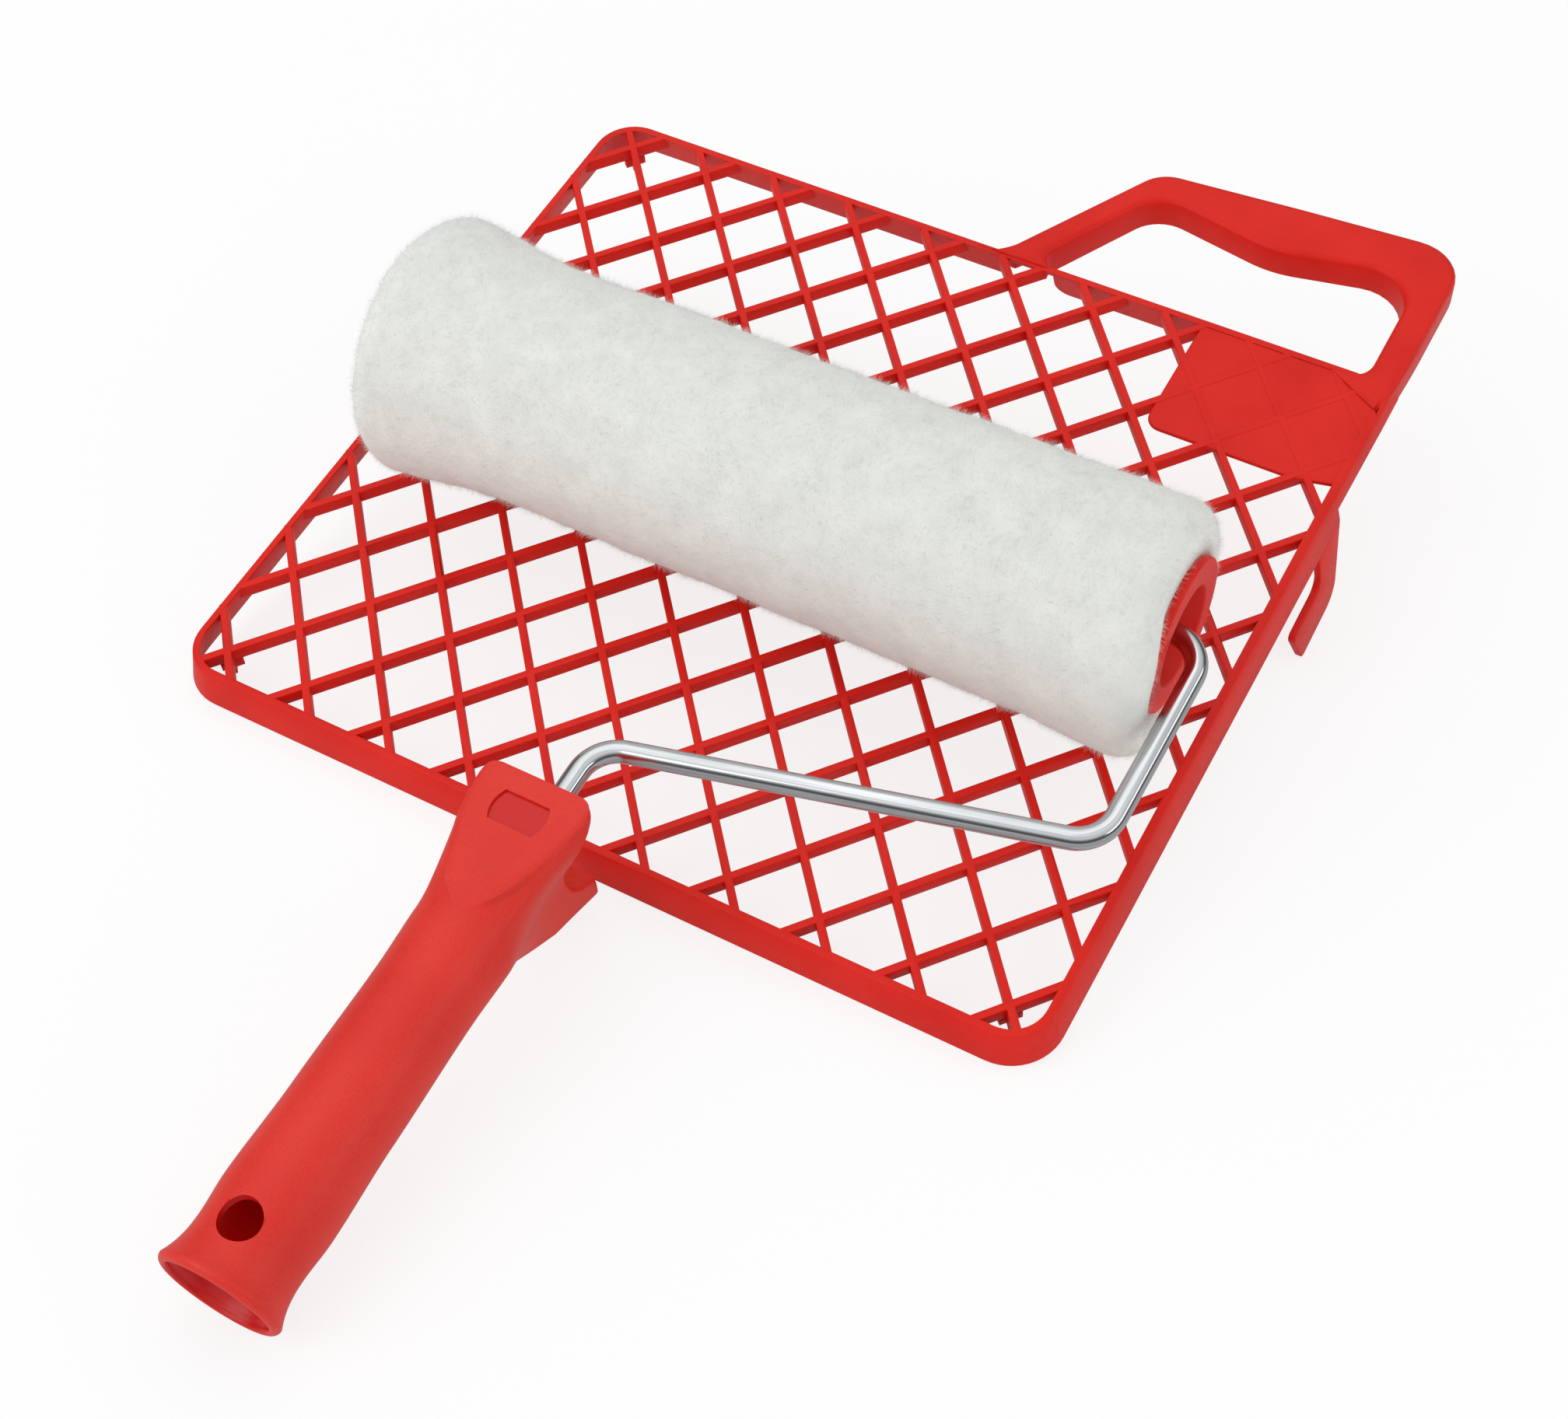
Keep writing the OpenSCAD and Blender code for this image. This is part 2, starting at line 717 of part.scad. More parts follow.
// The head's body, skinned over its rings
module head_body() {
    corner = [for (k = [0 : 5]) head_r * (1 - cos(18 * k))];
    back = [for (d = [7, 9, 11, 13, 15, 18, 21, 24, 27, 30, 33, 35.5, 37.5, 38.5, 39.5, 40.5, 41.5])
        d * head_len / 42];
    steps = concat([-nose_out - 0.3, -nose_out / 2], corner, back, [head_len]);
    rings = [for (d = steps) head_ring(d)];
    n = len(rings[0]);
    m = len(rings);
    polyhedron(
        points = concat([for (r = rings) each r], [[0, 0, steps[0]], [0, 0, head_len]]),
        faces = concat(
            [for (k = [0 : n - 1]) [(k + 1) % n, k, m * n]],
            [for (j = [0 : m - 2]) for (k = [0 : n - 1])
                [(j + 1) * n + k, j * n + k, (j + 1) * n + (k + 1) % n]],
            [for (j = [0 : m - 2]) for (k = [0 : n - 1])
                [(j + 1) * n + (k + 1) % n, j * n + k, j * n + (k + 1) % n]],
            [for (k = [0 : n - 1]) [(m - 1) * n + k, (m - 1) * n + (k + 1) % n, m * n + 1]]),
        convexity = 4);
}

// What the throat takes away in front, drawn along the handle (x) and up (y)
scoop = open_path([
    [-nose_out - 2, head_top + 1, 0],
    [0, head_top + 1, 0.2],
    [0, head_top - brow_t, 1.2],
    [throat_back - 2, 0, 12],
    [throat_back + 0.4, -spur_drop / 3, 12],
    [throat_back - 1, 9.6 - spur_drop, 4.5],
    [-nose_out, 4.6 - spur_drop, 0.8],
    [-nose_out, 1.2 - spur_drop, 0.8],
    [0.4 - nose_out, -spur_drop - 1, 0.2],
    [-nose_out - 2, -spur_drop - 1, 0]]);

module handle_head() {
    color(red)
        handle_pose()
            difference() {
                head_body();
                rotate([0, -90, 0])
                    linear_extrude(2 * head_w, center = true)
                        polygon(scoop);
                translate([0, 0, -nose_out - 1])
                    cylinder(r = wire_r + wire_fit, h = head_len + nose_out + 2);
                translate([0, head_top - recess_t, recess_back + recess_d / 2])
                    rotate([-90, 0, 0])
                        linear_extrude(recess_t + 1)
                            intersection() {
                                square([recess_w, recess_d], center = true);
                                circle(d = recess_w + 1.5);
                            }
            }
}

module core_tube() {
    color(board)
        roller_pose()
            translate([core_left, 0, 0])
                rotate([0, 90, 0])
                    difference() {
                        cylinder(d = core_d, h = core_len);
                        translate([0, 0, -1])
                            cylinder(r = core_in, h = core_len + 2);
                    }
}

module pile_sleeve() {
    end = core_len + pile_over;
    outline = open_path([
        [core_d / 2, -pile_over, 0],
        [pile_d / 2, -pile_over, pile_r],
        [pile_d / 2, end, pile_r],
        [core_d / 2, end, 0]]);
    color(white)
        roller_pose()
            translate([core_left, 0, 0])
                rotate([0, 90, 0])
                    rotate_extrude()
                        polygon(outline);
}

// Cap seen in section: radius first, then depth from the core's end into the core
module cap() {
    flange = open_path([
        [core_in - skirt_t, -flange_t, 0],
        [flange_d / 2, -flange_t, flange_r],
        [flange_d / 2, 0, flange_r],
        [core_in - eps, 0, 0]], 6);
    floor_z = hub_top + skirt_t;
    outline = concat(
        [[dish_floor_d / 2, hub_top], [dish_mouth_d / 2, -flange_t]],
        flange,
        [[core_in, 0], [core_in, skirt_len], [core_in - skirt_t, skirt_len],
         [core_in - skirt_t, floor_z], [hub_d / 2, floor_z], [hub_d / 2, skirt_len],
         [wire_r + run_fit, skirt_len], [wire_r + run_fit, hub_top]]);
    rotate_extrude()
        polygon(outline);
}

module outer_cap() {
    color(red)
        roller_pose()
            translate([core_right, 0, 0])
                rotate([0, -90, 0])
                    cap();
}

module inner_cap() {
    color(red)
        roller_pose()
            translate([core_left, 0, 0])
                rotate([0, 90, 0])
                    cap();
}

rim_frame();
mesh_ribs();
corner_panel();
grip_loop();
hang_hook();
corner_feet();
wire_bow();
handle_grip();
handle_head();
retaining_clip();
core_tube();
pile_sleeve();
outer_cap();
inner_cap();
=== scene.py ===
import json
import math

import bmesh
import bpy
import numpy as np
from mathutils import Matrix, Vector, noise


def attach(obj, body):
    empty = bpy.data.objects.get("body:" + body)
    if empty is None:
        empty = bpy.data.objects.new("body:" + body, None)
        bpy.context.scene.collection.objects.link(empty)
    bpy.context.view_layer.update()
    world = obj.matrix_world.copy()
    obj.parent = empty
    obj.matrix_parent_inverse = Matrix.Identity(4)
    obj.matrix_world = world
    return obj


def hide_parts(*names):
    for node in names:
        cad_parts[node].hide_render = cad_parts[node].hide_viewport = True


# Paint roller lying on its scraper grid. Sizes are in millimetres until a piece is placed.
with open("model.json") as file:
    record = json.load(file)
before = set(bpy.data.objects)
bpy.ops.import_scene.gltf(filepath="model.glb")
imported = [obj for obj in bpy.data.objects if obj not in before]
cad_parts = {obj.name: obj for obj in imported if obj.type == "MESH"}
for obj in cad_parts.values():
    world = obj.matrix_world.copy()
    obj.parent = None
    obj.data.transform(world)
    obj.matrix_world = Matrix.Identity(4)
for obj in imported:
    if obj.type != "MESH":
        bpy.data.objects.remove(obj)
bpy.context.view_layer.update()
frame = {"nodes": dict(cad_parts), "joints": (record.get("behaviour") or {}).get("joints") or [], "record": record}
scene = bpy.context.scene
mm = 0.001

# Where the grid and the roller lie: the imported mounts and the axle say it
mounts = {mount["name"]: mount for mount in frame["record"]["mounts"]}
joints = {joint["name"]: joint for joint in frame["joints"]}
slotAxis = mounts["hook_slot"]["axis"]
socketAxis = mounts["pole_socket"]["axis"]
gridTilt = math.atan2(-slotAxis[2], -slotAxis[1])
rollerTilt = math.atan2(-socketAxis[2], -socketAxis[1])
gridPlan = {"halfW": 139.06, "halfD": 126.17, "cornerR": 13.0, "slotAt": (141.86, 54.0, -19.7)}
toMetres = Matrix.Scale(mm, 4)
gridPlace = (Matrix.Translation(mounts["hook_slot"]["pos_m"]) @ Matrix.Rotation(gridTilt, 4, "X")
             @ toMetres @ Matrix.Translation(-Vector(gridPlan["slotAt"])))
toGrid = gridPlace.inverted()
rollerPlace = (Matrix.Translation(joints["sleeve_spin"]["pos_m"])
               @ Matrix.Rotation(rollerTilt, 4, "X") @ toMetres)
leans = [round(math.degrees(tilt), 2) for tilt in (gridTilt, rollerTilt)]
print("frame loaded, grid leans", leans[0], "roller", leans[1])

solidWeld = 0.002  # packed corners closer than this are one
flatWithin = 0.6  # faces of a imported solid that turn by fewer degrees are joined
creaseTurn = 38  # edges that turn by more degrees are shaded sharp
noCrease = 180  # for a piece that is smooth all over
noiseSpan = (0.3, 0.7)  # most of a noise texture lies between these


def linear(hexText):
    parts = [int(hexText[i:i + 2], 16) / 255 for i in (1, 3, 5)]
    return tuple(p / 12.92 if p <= 0.04045 else ((p + 0.055) / 1.055) ** 2.4 for p in parts) + (1.0,)


def addNode(tree, kind, inputs=None, **settings):
    node = tree.nodes.new("ShaderNode" + kind)
    for name, value in settings.items():
        setattr(node, name, value)
    for socket, value in (inputs or {}).items():
        if isinstance(value, bpy.types.NodeSocket):
            tree.links.new(value, node.inputs[socket])
        else:
            node.inputs[socket].default_value = value
    return node


def startMaterial(name):
    material = bpy.data.materials.new(name)
    material.use_nodes = True
    tree = material.node_tree
    tree.nodes.clear()
    return material, tree


def closeMaterial(material, tree, inputs):
    skin = addNode(tree, "BsdfPrincipled", inputs)
    addNode(tree, "OutputMaterial", {"Surface": skin.outputs["BSDF"]})
    return material


def speckle(tree, place, size, detail=3.0, roughness=0.5):
    # Noise whose features are that many millimetres wide
    return addNode(tree, "TexNoise", {"Vector": place, "Scale": 1 / (size * mm), "Detail": detail,
                                      "Roughness": roughness}).outputs["Fac"]


def toneRamp(tree, value, *stops):
    # A colour that runs through the stops, each a place from 0 to 1 and a hex colour
    ramp = addNode(tree, "ValToRGB", {"Fac": value})
    elements = ramp.color_ramp.elements
    for element, (spot, colour) in ((elements[0], stops[0]), (elements[1], stops[-1])):
        element.position = spot
        element.color = linear(colour)
    for spot, colour in stops[1:-1]:
        elements.new(spot).color = linear(colour)
    return ramp.outputs["Color"]


def mapped(tree, value, target, source=(0.0, 1.0), **settings):
    # The value's run over source, carried over to target
    return addNode(tree, "MapRange", {"Value": value, "From Min": source[0], "From Max": source[1],
                                      "To Min": target[0], "To Max": target[1]}, **settings).outputs["Result"]


def raised(tree, height, strength, depth):
    bump = addNode(tree, "Bump", {"Height": height, "Strength": strength, "Distance": depth * mm})
    return bump.outputs["Normal"]


def mathNode(tree, operation, first, second):
    return addNode(tree, "Math", {0: first, 1: second}, operation=operation).outputs[0]


def smoothStep(t):
    t = min(1.0, max(0.0, t))
    return t * t * (3 - 2 * t)


def looseObject(name, bm):
    mesh = bpy.data.meshes.new(name)
    bm.to_mesh(mesh)
    bm.free()
    item = bpy.data.objects.new(name, mesh)
    scene.collection.objects.link(item)
    return item


def carvedMesh(base, tools, operation):
    # The base with each tool added to it or cut from it; the base and the tools are used up
    for tool in tools:
        step = base.modifiers.new(tool.name, "BOOLEAN")
        step.operation, step.solver, step.object = operation, "EXACT", tool
    mesh = bpy.data.meshes.new_from_object(base.evaluated_get(bpy.context.evaluated_depsgraph_get()))
    for item in [base] + tools:
        bpy.data.objects.remove(item)
    return mesh


def finishPiece(name, bm, body, material, nodes=(), sharp=creaseTurn):
    mesh = bpy.data.meshes.new(name)
    bm.to_mesh(mesh)
    bm.free()
    return placePiece(name, mesh, body, material, nodes, sharp)


def placePiece(name, mesh, body, material, nodes=(), sharp=creaseTurn):
    mesh.polygons.foreach_set("use_smooth", [True] * len(mesh.polygons))
    mesh.set_sharp_from_angle(angle=math.radians(sharp))
    mesh.materials.clear()
    mesh.materials.append(material)
    piece = bpy.data.objects.new(name, mesh)
    scene.collection.objects.link(piece)
    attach(piece, body)
    if nodes:
        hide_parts(*nodes)
    return piece


def dressNode(node, material):
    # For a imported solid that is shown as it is
    frame["nodes"][node].data.materials.clear()
    frame["nodes"][node].data.materials.append(material)


def mergedCopy(node):
    bm = bmesh.new()
    bm.from_mesh(frame["nodes"][node].data)
    bmesh.ops.remove_doubles(bm, verts=bm.verts, dist=solidWeld * mm)
    return bm


def roundOff(bm, geom, width, steps=2, affect="EDGES", clamp=False):
    bmesh.ops.bevel(bm, geom=geom, offset=width, offset_type="OFFSET", segments=steps, profile=0.5,
                    material=-1, affect=affect, clamp_overlap=clamp)


def softenEdges(bm, width, steep, crisp):
    # Rounds the edges that turn by more than steep degrees, apart from those that crisp picks
    bmesh.ops.dissolve_limit(bm, angle_limit=math.radians(flatWithin), verts=bm.verts, edges=bm.edges)
    edges = [e for e in bm.edges if len(e.link_faces) == 2
             and e.calc_face_angle(0) > math.radians(steep) and not crisp(e)]
    roundOff(bm, edges, width * mm)


# Red polypropylene, injection moulded: even colour, satin skin with a faint orange peel
plasticLook = {"deep": (0.3, "#D4190D"), "middle": (0.5, "#DC1E11"), "light": (0.72, "#E12416"), "cloud": 26,
               "peel": 0.9, "peelDetail": 2.0, "peelShows": 0.12, "peelDepth": 0.05,
               "roughness": (0.35, 0.47), "specular": 0.22, "index": 1.49}


def mouldedPolypropylene(name, look):
    material, tree = startMaterial(name)
    place = addNode(tree, "TexCoord").outputs["Object"]
    cloud = speckle(tree, place, look["cloud"])
    peel = speckle(tree, place, look["peel"], look["peelDetail"])
    return closeMaterial(material, tree, {
        "Base Color": toneRamp(tree, cloud, look["deep"], look["middle"], look["light"]),
        "Roughness": mapped(tree, peel, look["roughness"], noiseSpan), "IOR": look["index"],
        "Normal": raised(tree, peel, look["peelShows"], look["peelDepth"]),
        "Specular IOR Level": look["specular"]})


redPlastic = mouldedPolypropylene("moulded_red_polypropylene", plasticLook)

# The handle's polypropylene comes from a spark-eroded mould: a fine grit of dull and bright specks, drawn
# coarser than real grit so that it shows. The mould is polished in the recess, in the hanging hole and in
# the socket, which the face attribute "polish" tells; there the skin is smoother, and its red is painted
# darker and deeper as shade in these hollows.
sparkLook = {"deep": (0.34, "#D32316"), "middle": (0.5, "#DC2A1C"), "light": (0.66, "#E33425"),
             "polishedAndShadedRed": "#CE0C06", "cloud": 30, "grit": 0.7, "gritRoughness": 0.65, "gritShows": (0.8, 0.02),
             "gritDepth": 0.08, "roughness": (0.36, 0.52), "polishedRoughness": 0.3, "specular": 0.4,
             "index": 1.49}


def sparkMouldedPolypropylene(name, look):
    material, tree = startMaterial(name)
    place = addNode(tree, "TexCoord").outputs["Object"]
    cloud = speckle(tree, place, look["cloud"])
    grit = speckle(tree, place, look["grit"], roughness=look["gritRoughness"])
    average = mathNode(tree, "MULTIPLY", mathNode(tree, "ADD", cloud, grit), 0.5)
    tone = toneRamp(tree, average, look["deep"], look["middle"], look["light"])
    polishAndShade = addNode(tree, "Attribute", attribute_name="polishAndShade").outputs["Fac"]
    # A Mix node's sockets go by number: 6 and 7 are its colours, 2 and 3 its plain values
    # Where polish is 1 the red turns darker and deeper: painted shade in the recess, the hole and the socket
    colour = addNode(tree, "Mix", {"Factor": polishAndShade, 6: tone, 7: linear(look["polishedAndShadedRed"])}, data_type="RGBA")
    rough = mapped(tree, grit, look["roughness"], noiseSpan)
    gloss = addNode(tree, "Mix", {"Factor": polishAndShade, 2: rough, 3: look["polishedRoughness"]})
    shows = mapped(tree, polishAndShade, look["gritShows"])
    return closeMaterial(material, tree, {
        "Base Color": colour.outputs[2], "Roughness": gloss.outputs[0], "IOR": look["index"],
        "Normal": raised(tree, grit, shows, look["gritDepth"]), "Specular IOR Level": look["specular"]})


handlePlastic = sparkMouldedPolypropylene("spark_moulded_red_polypropylene", sparkLook)

# Bright zinc-plated drawn wire: a pale mirror with long draw lines, which follow the wire's own attribute
# "drawn". A line is as wide as its share of the wire's thickness.
wireLook = {"dull": (0.3, "#B4B8BB"), "pale": (0.65, "#D4D7D9"), "lineLength": 45, "lineShare": 0.04,
            "lineDetail": 4.0, "lineRoughness": 0.6, "lineShows": 0.15, "lineDepth": 0.02,
            "roughness": (0.23, 0.13)}


def zincPlatedWire(name, look):
    material, tree = startMaterial(name)
    drawn = addNode(tree, "Attribute", attribute_name="drawn").outputs["Vector"]
    lines = addNode(tree, "TexNoise", {"Vector": drawn, "Scale": 1.0, "Detail": look["lineDetail"],
                                       "Roughness": look["lineRoughness"]}).outputs["Fac"]
    return closeMaterial(material, tree, {
        "Base Color": toneRamp(tree, lines, look["dull"], look["pale"]), "Metallic": 1.0,
        "Roughness": mapped(tree, lines, look["roughness"], noiseSpan),
        "Normal": raised(tree, lines, look["lineShows"], look["lineDepth"])})


zincWire = zincPlatedWire("zinc_plated_drawn_wire", wireLook)

# Spring-steel clip, stamped and zinc plated: duller than the wire, with a fine rolled grain
clipLook = {"dull": (0.0, "#95999C"), "pale": (1.0, "#B9BDC0"), "grain": 0.4, "roughness": (0.28, 0.45)}


def stampedSteel(name, look):
    material, tree = startMaterial(name)
    grain = speckle(tree, addNode(tree, "TexCoord").outputs["Object"], look["grain"])
    return closeMaterial(material, tree, {
        "Base Color": toneRamp(tree, grain, look["dull"], look["pale"]), "Metallic": 1.0,
        "Roughness": mapped(tree, grain, look["roughness"])})


clipSteel = stampedSteel("stamped_spring_steel", clipLook)

# Pale extruded polypropylene tube under the pile: drawn lines along its length
tubeLook = {"dark": (0.0, "#C6BEAB"), "light": (1.0, "#D9D3C4"), "line": 1.2, "stretch": (0.03, 1.0, 1.0),
            "roughness": (0.4, 0.6), "index": 1.49}


def extrudedTube(name, look):
    material, tree = startMaterial(name)
    place = addNode(tree, "TexCoord").outputs["Object"]
    along = addNode(tree, "Mapping", {"Vector": place, "Scale": look["stretch"]}).outputs["Vector"]
    lines = speckle(tree, along, look["line"])
    return closeMaterial(material, tree, {
        "Base Color": toneRamp(tree, lines, look["dark"], look["light"]),
        "Roughness": mapped(tree, lines, look["roughness"]), "IOR": look["index"]})


tubePlastic = extrudedTube("extruded_pale_polypropylene", tubeLook)

# Knitted polyester pile, brushed and steamed: white locks with soft shade between them
# root is the darker colour, painted as shade: at the fibres' roots and between the bed's locks
pileLook = {"root": "#E1E3DE", "tip": "#EAECE7", "lock": 9.0, "lockDetail": 4.0, "fuzz": 0.6,
            "fuzzShows": 0.22, "fuzzDepth": 0.15, "bedRoughness": 0.95, "bedSpecular": 0.1,
            "tipFrom": 0.6, "tint": (0.96, 1.03), "fibreRoughness": 0.85, "fibreSpecular": 0.2, "sheen": 0.2}


def fleeceBed(name, look):
    material, tree = startMaterial(name)
    place = addNode(tree, "TexCoord").outputs["Object"]
    locks = speckle(tree, place, look["lock"], look["lockDetail"])
    fuzz = speckle(tree, place, look["fuzz"])
    return closeMaterial(material, tree, {
        "Base Color": toneRamp(tree, locks, (noiseSpan[0], look["root"]), (noiseSpan[1], look["tip"])),
        "Roughness": look["bedRoughness"], "Sheen Weight": look["sheen"],
        "Normal": raised(tree, fuzz, look["fuzzShows"], look["fuzzDepth"]),
        "Specular IOR Level": look["bedSpecular"]})


# The fibres go from root to tip by their attribute "rise", darker at the root as painted shade among the
# fibres, and each has its own "tint"
def fleeceFibre(name, look):
    material, tree = startMaterial(name)
    rise = addNode(tree, "Attribute", attribute_name="rise").outputs["Fac"]
    tint = addNode(tree, "Attribute", attribute_name="tint").outputs["Fac"]
    tone = toneRamp(tree, rise, (0.0, look["root"]), (look["tipFrom"], look["tip"]))
    shaded = addNode(tree, "VectorMath", {0: tone, 1: mapped(tree, tint, look["tint"])}, operation="MULTIPLY")
    return closeMaterial(material, tree, {
        "Base Color": shaded.outputs["Vector"], "Roughness": look["fibreRoughness"],
        "Sheen Weight": look["sheen"], "Specular IOR Level": look["fibreSpecular"]})


fleeceBase = fleeceBed("knitted_polyester_fleece", pileLook)
fleeceStrand = fleeceFibre("brushed_polyester_fibre", pileLook)
print("materials made")

# The grid's wall, corner plate, hook and feet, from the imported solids. "flush" values tell where the
# wall's top meets the plate and the grip.
moulding = {"arris": 0.45, "footArris": 0.2, "steep": 35, "plateSunk": 0.25, "plateFace": 0.5,
            "wallT": 2.4, "wallH": 11.4, "flare": 2.8, "innerLean": 1.2, "innerDraw": 2.0, "onFace": 0.4,
            "legDraw": 0.4, "legFrom": 60.0, "legOver": 50.0, "legTurn": 80,
            "flushDeep": 0.6, "flushBand": (-3.2, -0.1), "flushFar": 100, "flushRight": 125}


def besideWall(x, y):
    # How far outside the wall's top outer line a point of the grid lies, and the way outward
    radius = gridPlan["cornerR"]
    corner = Vector((gridPlan["halfW"], gridPlan["halfD"])) - Vector((radius, radius))
    over = Vector((max(0.0, abs(x) - corner.x), max(0.0, abs(y) - corner.y)))
    way = Vector((math.copysign(over.x, x), math.copysign(over.y, y), 0)).normalized()
    return over.length - radius, way


def fitWall(bm):
    # The wall's inner face leans outward with its outer face, so the foot is as thin as the top. By the
    # grip the outer face runs on straight past the corner, in line with the grip's leg.
    m = moulding
    for v in bm.verts:
        at = toGrid @ v.co
        off, way = besideWall(at.x, at.y)
        depth = -at.z / m["wallH"]
        if abs(off + m["wallT"] - m["innerLean"] * depth) < m["onFace"]:
            v.co += gridPlace.to_3x3() @ (way * (m["innerDraw"] * depth))
        elif (abs(off - m["flare"] * depth) < m["onFace"] and at.y > m["legFrom"] and way.x > 0
              and math.degrees(math.atan2(way.y, way.x)) < m["legTurn"]):
            at.x = gridPlan["halfW"] + off + m["legDraw"] * smoothStep((at.y - m["legFrom"]) / m["legOver"])
            v.co = gridPlace @ at


def meetsPlate(edge):
    # The edges along which the far and right walls, the corner plate and the grip meet flush
    m = moulding
    low, high = m["flushBand"]
    ends = [toGrid @ v.co for v in edge.verts]
    return all(p.z > -m["flushDeep"] and low < besideWall(p.x, p.y)[0] < high
               and (p.y > m["flushFar"] or p.x > m["flushRight"]) for p in ends)


for node, name in (("rim_frame", "rim"), ("corner_panel", "corner_plate"), ("hang_hook", "hook"),
                   ("corner_feet", "cross_feet")):
    bm = mergedCopy(node)
    if name == "rim":
        fitWall(bm)
    if name == "corner_plate":  # its face lies a trace below the ribs, which show on it as low lines
        face = [v for v in bm.verts if (toGrid @ v.co).z > -moulding["plateFace"]]
        sunk = gridPlace.to_3x3() @ Vector((0, 0, -moulding["plateSunk"]))
        bmesh.ops.translate(bm, vec=sunk, verts=face)
    arris = moulding["footArris" if name == "cross_feet" else "arris"]
    softenEdges(bm, arris, moulding["steep"], meetsPlate)
    finishPiece(name, bm, "grid", redPlastic, [node])

carryGrip = {"arris": 0.3, "steep": 55, "sharp": 50, "plateRound": (119.0, 110.0, 19.0), "rise": 6.0,
             "legFrom": 100.0, "legTo": 150.0, "least": 0.1, "flush": 0.15, "beside": 0.1}


def settleLeg(bm):
    # The grip's right leg rises out of the corner plate along a round line, from almost no height
    g = carryGrip
    x, y, radius = g["plateRound"]
    for v in bm.verts:
        at = toGrid @ v.co
        if at.z > g["least"] and at.x > g["legFrom"] and at.y < g["legTo"]:
            share = smoothStep((math.hypot(at.x - x, at.y - y) - radius) / g["rise"])
            at.z = g["least"] + (at.z - g["least"]) * share
            v.co = gridPlace @ at


def meetsWall(edge):
    # The edges along which the grip's legs lie flush in the wall's top
    ends = [toGrid @ v.co for v in edge.verts]
    return all(abs(p.z) < carryGrip["flush"] and besideWall(p.x, p.y)[0] < carryGrip["beside"] for p in ends)


bm = mergedCopy("grip_loop")
settleLeg(bm)
softenEdges(bm, carryGrip["arris"], carryGrip["steep"], meetsWall)
finishPiece("carry_grip", bm, "grid", redPlastic, ["grip_loop"], sharp=carryGrip["sharp"])
print("rim, plate, hook, feet and grip made")

# Ribs: bars with softened arrises, two crossing families joined into one lattice
ribs = {"pitchX": 14.14, "pitchY": 16.61, "wide": 2.4, "deep": 4.6, "soft": 0.45, "count": 8, "under": 0.02,
        "wallMid": 0.7, "reachStep": 0.05, "reachMost": 400, "shortest": 6, "longEdge": 5}


def ribReach(along, offset, sign):
    s = 0.0
    while s < ribs["reachMost"] and besideWall(*(offset + along * (s * sign)))[0] <= -ribs["wallMid"]:
        s += ribs["reachStep"]
    return s * sign


def ribBars(angle):
    bm = bmesh.new()
    along, across = Vector((math.cos(angle), math.sin(angle))), Vector((-math.sin(angle), math.cos(angle)))
    step = 2 * ribs["pitchX"] * math.sin(abs(angle))
    drop = -ribs["deep"] / 2 - ribs["under"]
    for k in range(-ribs["count"], ribs["count"] + 1):
        offset = across * (k * step)
        near, far = ribReach(along, offset, -1), ribReach(along, offset, 1)
        if far - near < ribs["shortest"]:
            continue
        bar = bmesh.ops.create_cube(bm, size=1.0)["verts"]
        bmesh.ops.scale(bm, vec=(far - near, ribs["wide"], ribs["deep"]), verts=bar)
        long = [e for e in bm.edges if e.verts[0] in bar
                and abs(e.verts[0].co.x - e.verts[1].co.x) > ribs["longEdge"]]
        bmesh.ops.translate(bm, vec=((near + far) / 2, k * step, drop), verts=bar)
        bmesh.ops.rotate(bm, cent=(0, 0, 0), matrix=Matrix.Rotation(angle, 3, "Z"), verts=bar)
        roundOff(bm, long, ribs["soft"])
    bmesh.ops.transform(bm, matrix=gridPlace, verts=bm.verts)
    return looseObject("ribBars", bm)


ribAngle = math.atan2(ribs["pitchY"], ribs["pitchX"])
lattice = carvedMesh(ribBars(ribAngle), [ribBars(-ribAngle)], "UNION")
lattice.name = "lattice"
placePiece("lattice", lattice, "grid", redPlastic, ["mesh_ribs"])
print("lattice made,", len(lattice.polygons), "faces")

# The wire is one ring carried along its runs and round its bends, from the axle's end into the handle
wire = {"radius": 3.15, "bend": 11.15, "axleEnd": -116.1, "armX": 135.6, "armLen": 68.3, "fall": 32.5,
        "handleX": 4.3, "headGap": 22.6, "tail": 60.0, "sides": 32, "bendSteps": 14, "runStep": 12,
        "endRound": 0.6, "sharp": 50}


